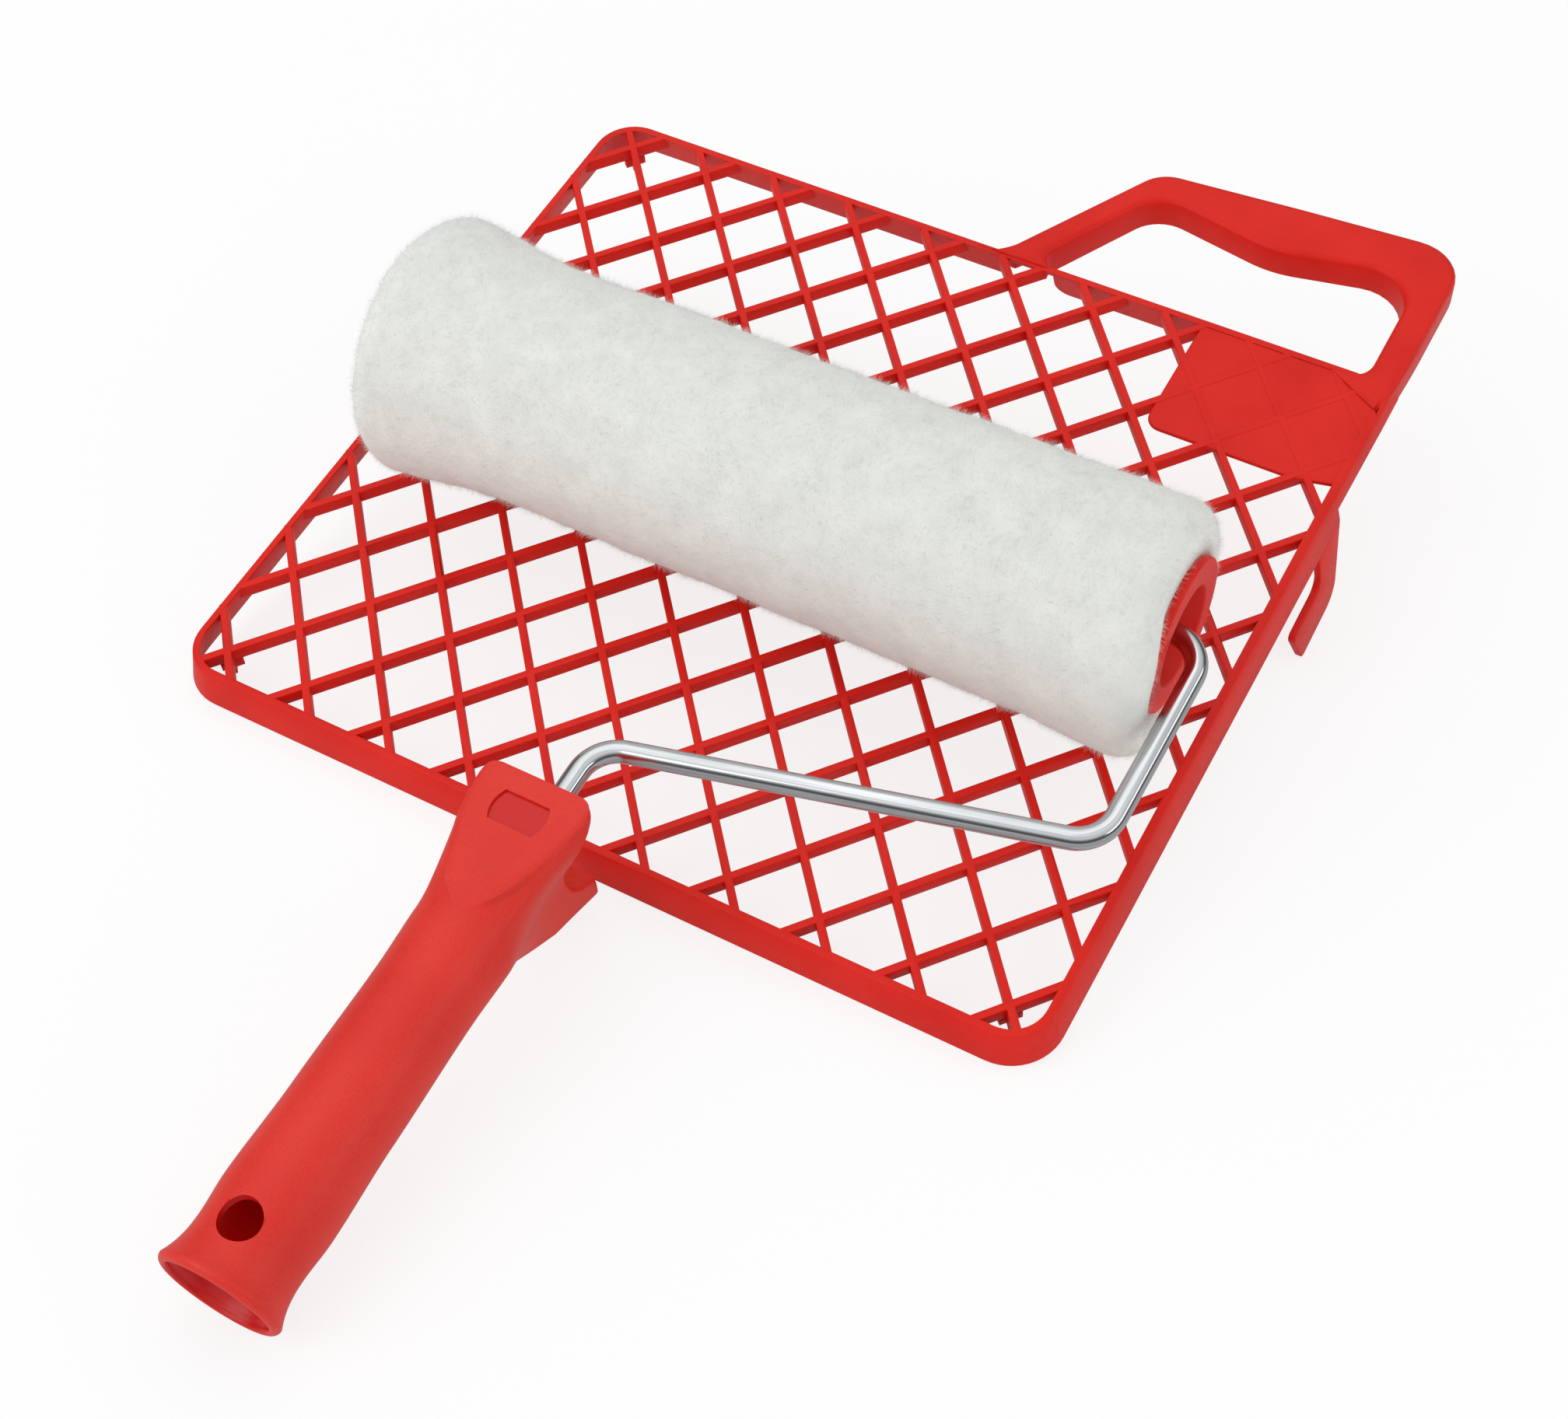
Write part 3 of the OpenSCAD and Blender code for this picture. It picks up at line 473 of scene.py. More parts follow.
def bentWire():
    w = wire
    turn = math.atan2(w["armX"] - w["handleX"], w["fall"])
    slant = w["bend"] * math.tan(turn / 2)
    diagonal = math.hypot(w["armX"] - w["handleX"], w["fall"]) - 2 * slant
    lineWidth = 2 * w["radius"] * wireLook["lineShare"]
    bm = bmesh.new()
    drawn = bm.verts.layers.float_vector.new("drawn")
    rim = bmesh.ops.create_circle(bm, segments=w["sides"], radius=w["radius"], cap_ends=False)["verts"]
    bmesh.ops.rotate(bm, cent=(0, 0, 0), matrix=Matrix.Rotation(math.pi / 2, 3, "Y"), verts=rim)
    bmesh.ops.translate(bm, vec=(w["axleEnd"], 0, 0), verts=rim)
    here, heading, length = Vector((w["axleEnd"], 0, 0)), Vector((1, 0, 0)), 0.0
    ringEdges = startEdges = bm.edges[:]

    def noteRing(verts, travelled):
        for v in verts:
            spoke = (v.co - here).normalized()
            side = heading.cross(Vector((0, 0, 1))).normalized()
            v[drawn] = Vector((spoke.dot(side) / lineWidth, spoke.z / lineWidth,
                               travelled / wireLook["lineLength"]))

    noteRing(rim, 0)
    for kind, amount in (("run", w["armX"] - w["bend"] - w["axleEnd"]), ("bend", -math.pi / 2),
                         ("run", w["armLen"] - w["bend"] - slant), ("bend", -turn),
                         ("run", diagonal), ("bend", turn), ("run", w["headGap"] + w["tail"] - slant)):
        pieces = w["bendSteps"] if kind == "bend" else max(1, round(amount / w["runStep"]))
        part = amount / pieces
        for _ in range(pieces):
            grown = bmesh.ops.extrude_edge_only(bm, edges=ringEdges)["geom"]
            verts = [g for g in grown if isinstance(g, bmesh.types.BMVert)]
            ringEdges = [g for g in grown if isinstance(g, bmesh.types.BMEdge)]
            if kind == "run":
                move = heading * part
                bmesh.ops.translate(bm, vec=move, verts=verts)
                here += move
                length += part
            else:
                side = Vector((-heading.y, heading.x, 0)) * (1 if amount > 0 else -1)
                centre = here + side * w["bend"]
                spin = Matrix.Rotation(part, 3, "Z")
                bmesh.ops.rotate(bm, cent=centre, matrix=spin, verts=verts)
                here = centre + spin @ (here - centre)
                heading = spin @ heading
                length += abs(part) * w["bend"]
            noteRing(verts, length)
    for ends in (startEdges, ringEdges):
        bmesh.ops.holes_fill(bm, edges=ends, sides=0)
    bmesh.ops.recalc_face_normals(bm, faces=bm.faces)
    caps = [e for f in bm.faces if len(f.verts) > 4 for e in f.edges]
    roundOff(bm, caps, w["endRound"])
    bmesh.ops.transform(bm, matrix=rollerPlace, verts=bm.verts)
    return bm


finishPiece("bent_wire", bentWire(), "roller_frame", zincWire, ["wire_bow"],
            sharp=wire["sharp"])
dressNode("retaining_clip", clipSteel)

# The handle is one moulding: rings run from the scooped front of the head to the rolled lip and back into
# the socket. x is across, y up and z back from the head's front. The pad is the head's flat top, which
# narrows to a tongue; below it come a bevel, the sides and the blade of the spur.
handle = {"x": 4.3, "front": -123.4, "headLen": 42.0, "end": 148.0, "top": 16.0, "half": 16.6, "cornerR": 5.0,
          "padFrom": 3.0, "padTo": 41.3, "padPower": 0.62, "padTip": 1.0, "padRound": (2.4, 12.0, 0.11),
          "taper": 0.08, "bevelDrop": 4.5, "bevelLeast": 0.07, "bulge": 0.1, "flankTurn": 37, "lowTurn": -60,
          "shoulderR": 14.45, "fadeFrom": 18.0, "fadePower": 1.15, "stepFrom": 26.0, "stepTo": 42.0,
          "bladeHalf": 8.0, "bladeR": 1.6, "bladeAt": 0.62, "bladeRound": 1.3, "arris": 0.5, "tableStep": 0.2,
          "scoop": ((20, 0), (12.5, 0), (7, 3), (1, 7), (-6, 9), (-13, 9.3), (-19, 8.5), (-23.8, 7),
                    (-28, 3.5), (-31.2, -2.3), (-42, -2.1)), "scoopSoft": 1.0,
          "under": ((-6, 40.5), (-2, 39.4), (10.9, 33.6), (19.3, 30.2), (50, 29.8)), "underSoft": 1.8,
          "grip": ((42, 14.45), (60, 14.0), (96, 14.5), (123, 15.25), (134, 14.65)), "gripStep": 2.2,
          "flareFrom": 134.0, "flareSteps": 14, "flarePower": 2.5, "lipR": 17.0, "lipRound": 1.9,
          "lipSteps": 6, "mouthR": 14.6, "mouthLen": 9.0, "mouthEdge": 0.5, "mouthRoll": (0.9, 0.9),
          "mouthSteps": 5, "funnelFrom": 1.2, "funnelSteps": 8, "funnelPower": 1.5, "socketR": 12.3,
          "socketDeep": 62.0, "socketSteps": 14, "headRings": 26, "ringPower": 1.25, "bevelSteps": 8,
          "arrisSteps": 3, "sideSteps": 22,
          "sideEnd": (0.97, 0.985, 0.995, 1.0), "settleTurns": 40, "settleShare": 0.5, "sharp": 40,
          "padColumns": (0, 0.3, 0.55, 0.7, 0.77, 0.83, 0.88, 0.92, 0.95, 0.975, 0.992, 1.0)}


def softTable(points, spread):
    # The bent line through the points, blurred, as a table for np.interp
    step = handle["tableStep"]
    keys = np.array(sorted(points), float)
    at = np.arange(keys[0, 0], keys[-1, 0], step)
    reach = int(3 * spread / step)
    weights = np.exp(-0.5 * (np.arange(-reach, reach + 1) * step / spread) ** 2)
    values = np.pad(np.interp(at, keys[:, 0], keys[:, 1]), reach, mode="edge")
    return at, np.convolve(values, weights / weights.sum(), mode="valid")


scoopTable = softTable(handle["scoop"], handle["scoopSoft"])  # how far back the front lies, by height
underTable = softTable(handle["under"], handle["underSoft"])  # how far down the spur goes, by distance back


def padEdge(d):
    h = handle
    along = min(1.0, max(0.0, (d - h["padFrom"]) / (h["padTo"] - h["padFrom"])))
    step = smoothStep((d - h["stepFrom"]) / (h["stepTo"] - h["stepFrom"]))
    narrowed = h["half"] * (1 - along * along) ** h["padPower"] - h["taper"] / 2 * max(0, d - h["padFrom"])
    return Vector((max(h["padTip"], narrowed), h["top"] + (h["shoulderR"] - h["top"]) * step))


def roundedTurn(before, turn, after, way, radius):
    # A point that many millimetres past the turn of a bent line, the turn being rounded off
    start, end = (before - turn).normalized(), (after - turn).normalized()
    reach = min(radius, (before - turn).length, (after - turn).length)
    if abs(way) >= reach:
        return turn + (end * way if way > 0 else start * -way)
    u = (way / reach + 1) / 2
    return turn + start * (reach * (1 - u) ** 2) + end * (reach * u * u)


def headSection(kind, t, angle, d):
    # A point of the head's section at d: t goes along the pad, bevel, side or low edge that kind names
    h = handle
    pad = padEdge(d)
    taper = h["taper"] * max(0, d - h["padFrom"])
    corner = Vector((h["half"] + h["bulge"] - taper, h["top"] - h["bevelDrop"]))
    low = -float(np.interp(d, *underTable))
    blade = Vector((h["bladeHalf"], low))
    first, softFrom, softer = h["padRound"]
    soft = first + softer * max(0.0, d - softFrom)
    overPad = (Vector((0, pad.y)), pad, corner)
    underBlade = (Vector((blade.x, corner.y)), blade, Vector((0, low)))
    if kind == "pad":
        return roundedTurn(*overPad, pad.x * (t - 1), soft)
    if kind == "bevel":  # goes down the round of the grip from where the pad's edge stands on it
        flat = roundedTurn(*overPad, (corner - pad).length * t, soft)
        flank = math.radians(h["flankTurn"])
        padTurn = max(flank + h["bevelLeast"], math.acos(min(1.0, pad.x / h["shoulderR"])))
        angle = padTurn + (flank - padTurn) * t
    elif kind == "side" and (1 - t) * (corner.y - low) < h["bladeRound"]:
        flat = roundedTurn(*underBlade, (t - 1) * (corner.y - low), h["bladeRound"])
    elif kind == "side":
        inward = smoothStep(t / h["bladeAt"])
        flat = Vector((corner.x + (blade.x - corner.x) * inward, corner.y + (low - corner.y) * t))
    else:
        flat = roundedTurn(*underBlade, blade.x * (1 - t), h["bladeRound"])
    fade = max(0.0, (d - h["fadeFrom"]) / (h["headLen"] - h["fadeFrom"])) ** h["fadePower"]
    return flat.lerp(Vector((math.cos(angle), math.sin(angle))) * h["shoulderR"], fade)


def roundedFront(x, half):
    # How far the front's rounded corner lies back at x, where the front is that half width
    h = handle
    wideness = min(1, max(0, (half - h["bladeHalf"]) / (h["half"] - h["bladeHalf"])))
    r = h["bladeR"] + (h["cornerR"] - h["bladeR"]) * wideness
    into = max(0.0, abs(x) - (half - r))
    return r - math.sqrt(max(0.0, r * r - into * into))


def headVertex(kind, t, angle, share):
    # The front is scooped, so how far back a point lies and its section are settled together
    h = handle
    d = h["headLen"] * share
    for _ in range(h["settleTurns"]):
        p = headSection(kind, t, angle, d)
        half, across = p.x, p.x
        if kind in ("pad", "low"):
            half = padEdge(d).x if kind == "pad" else h["bladeHalf"]
            across = half * t
        front = float(np.interp(p.y, *scoopTable)) + roundedFront(across, half)
        d += h["settleShare"] * (front + (h["headLen"] - front) * share - d)
    return Vector((p.x, p.y, d))


def handleStations():
    # The points of half a ring, from the top's middle down to the bottom's, with their angles on the grip
    h = handle
    tipAngle = math.acos(h["padTip"] / h["shoulderR"])
    turn, low = math.radians(h["flankTurn"]), math.radians(h["lowTurn"])
    columns = h["padColumns"]
    sides = [k / h["sideSteps"] for k in range(h["sideSteps"])] + list(h["sideEnd"])
    rows = [("pad", t, math.pi / 2 + (tipAngle - math.pi / 2) * t) for t in columns]
    rows += [("bevel", k / h["bevelSteps"], tipAngle + (turn - tipAngle) * k / h["bevelSteps"])
             for k in range(1, h["bevelSteps"])]
    rows += [("side", t, turn + (low - turn) * t) for t in sides]
    rows += [("low", t, -math.pi / 2 + (low + math.pi / 2) * t) for t in reversed(columns[:-1])]
    return rows


def quarterTurn(steps):
    return [math.radians(90 * k / steps) for k in range(steps + 1)]


def gripOutline():
    # Distance back and radius: along the grip, out to the lip, over it and down into the socket
    h = handle
    stops = h["grip"]
    outline = []
    for (a, ra), (b, rb) in zip(stops, stops[1:]):
        count = round((b - a) / h["gripStep"])
        outline += [(a + (b - a) * k / count, ra + (rb - ra) * smoothStep(k / count)) for k in range(count)]
    lipAt = h["end"] - h["lipRound"]
    steps = h["flareSteps"]
    outline += [(h["flareFrom"] + (lipAt - h["flareFrom"]) * k / steps,
                 stops[-1][1] + (h["lipR"] - stops[-1][1]) * (k / steps) ** h["flarePower"])
                for k in range(steps)]
    outline += [(lipAt + h["lipRound"] * math.sin(a), h["lipR"] - h["lipRound"] * (1 - math.cos(a)))
                for a in quarterTurn(h["lipSteps"])]
    rollBack, rollIn = h["mouthRoll"]
    outline += [(h["end"] - h["lipRound"] * (1 - math.cos(a)) * rollBack,
                 h["mouthR"] + h["mouthEdge"] - rollIn * math.sin(a)) for a in quarterTurn(h["mouthSteps"])]
    inner = h["end"] - h["funnelFrom"]
    steps = h["funnelSteps"]
    opening = h["mouthR"] - h["mouthEdge"] - h["socketR"]
    outline += [(inner - (h["mouthLen"] - h["funnelFrom"]) * k / steps,
                 h["socketR"] + opening * (1 - k / steps) ** h["funnelPower"]) for k in range(1, steps + 1)]
    start, floor = h["end"] - h["mouthLen"], h["end"] - h["socketDeep"]
    steps = h["socketSteps"]
    outline += [(start + (floor - start) * k / steps, h["socketR"]) for k in range(1, steps + 1)]
    return outline[1:]


def handleSkin():
    h = handle
    stations = handleStations()
    bm = bmesh.new()

    def mirrored(points):
        return points + [Vector((-p.x, p.y, p.z)) for p in points[-2:0:-1]]

    shares = [(k / h["headRings"]) ** h["ringPower"] for k in range(h["headRings"] + 1)]
    rings = [mirrored([headVertex(*s, share) for s in stations]) for share in shares]
    for d, r in gripOutline():
        rings.append(mirrored([Vector((r * math.cos(a), r * math.sin(a), d)) for _, _, a in stations]))
    grown = [[bm.verts.new(p) for p in ring] for ring in rings]
    count = len(grown[0])
    for near, far in zip(grown, grown[1:]):
        for k in range(count):
            bm.faces.new((near[k], near[(k + 1) % count], far[(k + 1) % count], far[k]))
    bm.faces.new(grown[-1])
    # The front: rows across the scoop, from the pad's front edge down to the spur's tip
    columns = h["padColumns"]
    last = len(columns) - 1
    blade = last + h["bevelSteps"] + h["sideSteps"] + len(h["sideEnd"]) - 1
    firstRow = [grown[0][-k] for k in range(last, 0, -1)] + grown[0][:last + 1]
    lastRow = grown[0][blade:2 * len(stations) - 2 - blade + 1][::-1]
    rows = [firstRow]
    for i in range(last + 1, blade):
        edge = rings[0][i]
        front = edge.z - roundedFront(edge.x, edge.x)
        row = [bm.verts.new((edge.x * t * side, edge.y, front + roundedFront(edge.x * t, edge.x)))
               for side, t in [(-1, t) for t in reversed(columns[1:-1])] + [(1, t) for t in columns[:-1]]]
        rows.append([grown[0][-i]] + row + [grown[0][i]])
    rows.append(lastRow)
    for upper, lower in zip(rows, rows[1:]):
        for k in range(len(upper) - 1):
            bm.faces.new((upper[k], upper[k + 1], lower[k + 1], lower[k]))
    bmesh.ops.recalc_face_normals(bm, faces=bm.faces)
    # Arrises of the brow over the throat and of the spur's tip
    crisp = [bm.edges.get(pair) for line in (firstRow, lastRow) for pair in zip(line, line[1:])]
    roundOff(bm, [e for e in crisp if e], h["arris"], h["arrisSteps"], clamp=True)
    return bm


# The recess in the pad has bowed ends, and the hanging hole goes through the handle's end
recess = {"wide": 15.8, "deep": 9.3, "sunk": 0.8, "back": 6.6, "bow": 1.3, "points": 13, "over": 3}
hangingHole = {"radius": 5.6, "back": 15.6, "sides": 72, "length": 60}
onFace = 0.05  # how close a face's middle lies to the recess's floor or the hole's wall


def recessCutter():
    bm = bmesh.new()
    floor = handle["top"] - recess["sunk"]
    corners = []
    for end in (1, -1):
        for s in np.linspace(-1, 1, recess["points"]):
            across = end * (recess["wide"] / 2 - recess["bow"] * s * s)
            corners.append(bm.verts.new((across, floor, recess["back"] + recess["deep"] / 2 * (1 + s * end))))
    lifted = bmesh.ops.extrude_face_region(bm, geom=[bm.faces.new(corners)])["geom"]
    upper = [g for g in lifted if isinstance(g, bmesh.types.BMVert)]
    bmesh.ops.translate(bm, vec=(0, recess["over"], 0), verts=upper)
    bmesh.ops.recalc_face_normals(bm, faces=bm.faces)
    return looseObject("recessCutter", bm)


def holeCutter():
    bm = bmesh.new()
    upright = Matrix.Rotation(math.pi / 2, 4, "X")
    place = Matrix.Translation((0, 0, handle["end"] - hangingHole["back"])) @ upright
    bmesh.ops.create_cone(bm, cap_ends=True, segments=hangingHole["sides"], radius1=hangingHole["radius"],
                          radius2=hangingHole["radius"], depth=hangingHole["length"], matrix=place)
    return looseObject("holeCutter", bm)


# The recess floor, the hanging hole's wall and the socket: polished faces, whose red is painted darker as shade in
# these hollows
def isPolishedAndShaded(face):
    at = face.calc_center_median()
    inRecess = (abs(at.y - (handle["top"] - recess["sunk"])) < onFace and abs(at.x) < recess["wide"] / 2
                and recess["back"] < at.z < recess["back"] + recess["deep"])
    fromHole = math.hypot(at.x, at.z - handle["end"] + hangingHole["back"])
    inHole = fromHole < hangingHole["radius"] + onFace
    inSocket = (math.hypot(at.x, at.y) < handle["mouthR"] and at.z > handle["end"] - handle["socketDeep"]
                and Vector((at.x, at.y, 0)).dot(face.normal) < 0)
    return inRecess or inHole or inSocket


cutters = [recessCutter(), holeCutter()]
handleMesh = carvedMesh(looseObject("handleSolid", handleSkin()), cutters, "DIFFERENCE")
bm = bmesh.new()
bm.from_mesh(handleMesh)
bpy.data.meshes.remove(handleMesh)
# These faces get a smoother skin and a darker red, painted shade in the hollows
polishAndShade = bm.faces.layers.float.new("polishAndShade")
for face in bm.faces:
    if isPolishedAndShaded(face):
        face[polishAndShade] = 1.0
handleTurn = Matrix(((1, 0, 0, handle["x"]), (0, 0, -1, handle["front"]), (0, 1, 0, 0), (0, 0, 0, 1)))
bmesh.ops.transform(bm, matrix=rollerPlace @ handleTurn, verts=bm.verts)
finishPiece("handle", bm, "roller_frame", handlePlastic, ["handle_grip", "handle_head"],
            sharp=handle["sharp"])
print("wire and handle made")

# End caps: a flange with a dished recess, a skirt in the core and a hub on the wire
cap = {"coreIn": 21.5, "flangeR": 22.6, "flangeT": 3.0, "mouthR": 14.7, "floorR": 11.0, "depth": 11.0,
       "skirt": 20.0, "skirtT": 2.0, "hubR": 6.0, "boreR": 3.23, "soft": 0.7, "softSteps": 4, "steps": 96,
       "weld": 0.001, "rightEnd": 125.1, "leftEnd": -120.9}


def endCap(coreEnd, inward):
    c = cap
    floor = c["depth"] - c["flangeT"]
    outline = [(c["boreR"], floor), (c["floorR"], floor), (c["mouthR"], -c["flangeT"]),
               (c["flangeR"], -c["flangeT"]), (c["flangeR"], 0), (c["coreIn"], 0), (c["coreIn"], c["skirt"]),
               (c["coreIn"] - c["skirtT"], c["skirt"]), (c["coreIn"] - c["skirtT"], floor + c["skirtT"]),
               (c["hubR"], floor + c["skirtT"]), (c["hubR"], c["skirt"]), (c["boreR"], c["skirt"])]
    bm = bmesh.new()
    verts = [bm.verts.new((coreEnd + inward * depth, 0, radius)) for radius, depth in outline]
    for a, b in zip(verts, verts[1:] + verts[:1]):
        bm.edges.new((a, b))
    roundOff(bm, verts[1:5], c["soft"], c["softSteps"], affect="VERTICES")
    bmesh.ops.spin(bm, geom=bm.verts[:] + bm.edges[:], cent=(0, 0, 0), axis=(1, 0, 0), dvec=(0, 0, 0),
                   angle=2 * math.pi, steps=c["steps"], use_merge=True, use_duplicate=False)
    bmesh.ops.remove_doubles(bm, verts=bm.verts, dist=c["weld"])
    bmesh.ops.recalc_face_normals(bm, faces=bm.faces)
    bmesh.ops.transform(bm, matrix=rollerPlace, verts=bm.verts)
    return bm


finishPiece("cap_right", endCap(cap["rightEnd"], -1), "sleeve", redPlastic, ["outer_cap"])
finishPiece("cap_left", endCap(cap["leftEnd"], 1), "sleeve", redPlastic, ["inner_cap"])
dressNode("core_tube", tubePlastic)

# Fleece: a lumpy bed turned about the axle, then fibres rooted all over it. Angles go round the axle from
# the far side over the top: the bed presses on the ribs below, and the front is the side by the handle.
pile = {"inR": 23.35, "bedR": 35.3, "left": -120.5, "right": 125.6, "leftRound": (10.0, 9.0),
        "rightRound": (7.5, 8.5), "roundSteps": 8, "steps": 180, "stride": 1.4, "swellFrom": 1,
        "rootsFrom": 0.8, "wave": 0.5, "waveSize": 34, "wavePhase": (3.1, 0, 0), "lock": 0.3,
        "lockSize": (6, 16), "lockPhase": (0, 9.4, 0), "flare": (4.6, 2.0), "flareLength": (46.0, 36.0),
        "pressedAt": 270.0, "pressedSpan": 62.0, "pressedSwell": 0.4, "frontAt": 210.0,
        "frontSpan": (55.0, 110.0), "overhang": 4.0, "overhangLength": 14.0}


def fromAxle(point):
    return math.hypot(point.y, point.z)


def pileOutline():
    p = pile
    (leftLength, leftDrop), (rightLength, rightDrop) = p["leftRound"], p["rightRound"]
    turns = [90 * k / p["roundSteps"] for k in range(p["roundSteps"] + 1)]
    points = [(p["left"], p["inR"])]
    for a in (math.radians(turn) for turn in turns):
        points.append((p["left"] + leftLength * (1 - math.cos(a)),
                       p["bedR"] - leftDrop * (1 - math.sin(a))))
    start, stop = p["left"] + leftLength, p["right"] - rightLength
    count = round((stop - start) / p["stride"])
    points += [(start + (stop - start) * k / count, p["bedR"]) for k in range(1, count)]
    for a in (math.radians(90 - turn) for turn in turns):
        points.append((p["right"] - rightLength * (1 - math.cos(a)),
                       p["bedR"] - rightDrop * (1 - math.sin(a))))
    points.append((p["right"], p["inR"]))
    return points


def pileSwell(point):
    # Broad waves and locks that run round the sleeve, and how far the ends flare: the left one except where
    # it presses on the ribs, the right one towards the front, where it also hangs over the cap's flange
    p = pile
    lockAlong, lockAround = p["lockSize"]
    broad = noise.noise(Vector(point) / p["waveSize"] + Vector(p["wavePhase"]))
    locks = noise.noise(Vector((point.x / lockAlong, point.y / lockAround, point.z / lockAround))
                        + Vector(p["lockPhase"]))
    around = math.degrees(math.atan2(point.z, point.y))
    offPressed, offFront = (abs((around - p[name] + 180) % 360 - 180) for name in ("pressedAt", "frontAt"))
    free = smoothStep(offPressed / p["pressedSpan"])
    front = smoothStep((p["frontSpan"][1] - offFront) / (p["frontSpan"][1] - p["frontSpan"][0]))
    leftLength, rightLength = p["flareLength"]
    flare = p["flare"][0] * smoothStep((p["left"] + leftLength - point.x) / leftLength)
    flare += p["flare"][1] * smoothStep((point.x - p["right"] + rightLength) / rightLength) * front
    hanging = smoothStep((point.x - p["right"] + p["overhangLength"]) / p["overhangLength"])
    swell = (p["wave"] * broad + p["lock"] * locks) * (p["pressedSwell"] + (1 - p["pressedSwell"]) * free)
    return swell, flare * free, p["overhang"] * front * hanging


def fleeceBody():
    # The outline is set round the axle ring by ring, so that the faces, and the fibres dealt onto them, come
    # in the same order each run
    outline = pileOutline()
    bm = bmesh.new()
    rings = []
    for k in range(pile["steps"]):
        a = 2 * math.pi * k / pile["steps"]
        rings.append([bm.verts.new((x, -r * math.sin(a), r * math.cos(a))) for x, r in outline])
    for near, far in zip(rings, rings[1:] + rings[:1]):
        for i in range(len(outline)):
            bm.faces.new((near[i - 1], far[i - 1], far[i], near[i]))
    bm.normal_update()
    for v in bm.verts:
        radius = fromAxle(v.co)
        if radius > pile["inR"] + pile["swellFrom"]:
            swell, flare, overhang = pileSwell(v.co)
            flare *= (radius - pile["inR"]) / (pile["bedR"] - pile["inR"]) / radius
            v.co += v.normal * swell + Vector((overhang, v.co.y * flare, v.co.z * flare))
    bm.normal_update()
    return bm


bed = fleeceBody()
rootFaces = [f for f in bed.faces if len(f.verts) == 4
             and fromAxle(f.calc_center_median()) > pile["inR"] + pile["rootsFrom"]]
rootCorners = np.array([[v.co[:] for v in f.verts] for f in rootFaces])
rootNormals = np.array([f.normal[:] for f in rootFaces])
rootAreas = np.array([f.calc_area() for f in rootFaces])

# Two sorts of fibre: most stand up as fuzz, and the others lie brushed along the bed. Each is a thin
# three-sided spike with a bend at midAt.
fibre = {"pieces": 6, "perPiece": 20000, "quickShare": 6, "seed": 7, "sides": 3, "standing": 0.65,
         "lyingLength": (1.6, 3.4), "standingLength": (1.0, 3.0), "lyingLean": (70, 84),
         "standingLean": (10, 60), "lyingWidth": (0.018, 0.027), "standingWidth": (0.016, 0.026),
         "sink": 0.25, "locks": (11.0, 4.5), "lockPhase": (5, 5, 5), "lockShare": 0.5,
         "heading": (1.4, 2.6), "scatter": 0.5, "endOn": 0.3, "endSwirl": 0.3, "curl": 0.6,
         "curlScatter": 0.35, "midAt": 0.55, "midBend": 0.06, "midWidth": 0.8, "tipBend": 0.2,
         "tipDroop": 0.05}


def lockSwirl(point):
    coarse, fine = fibre["locks"]
    swirl = noise.noise(Vector(point) / coarse)
    return swirl + fibre["lockShare"] * noise.noise(Vector(point) / fine + Vector(fibre["lockPhase"]))


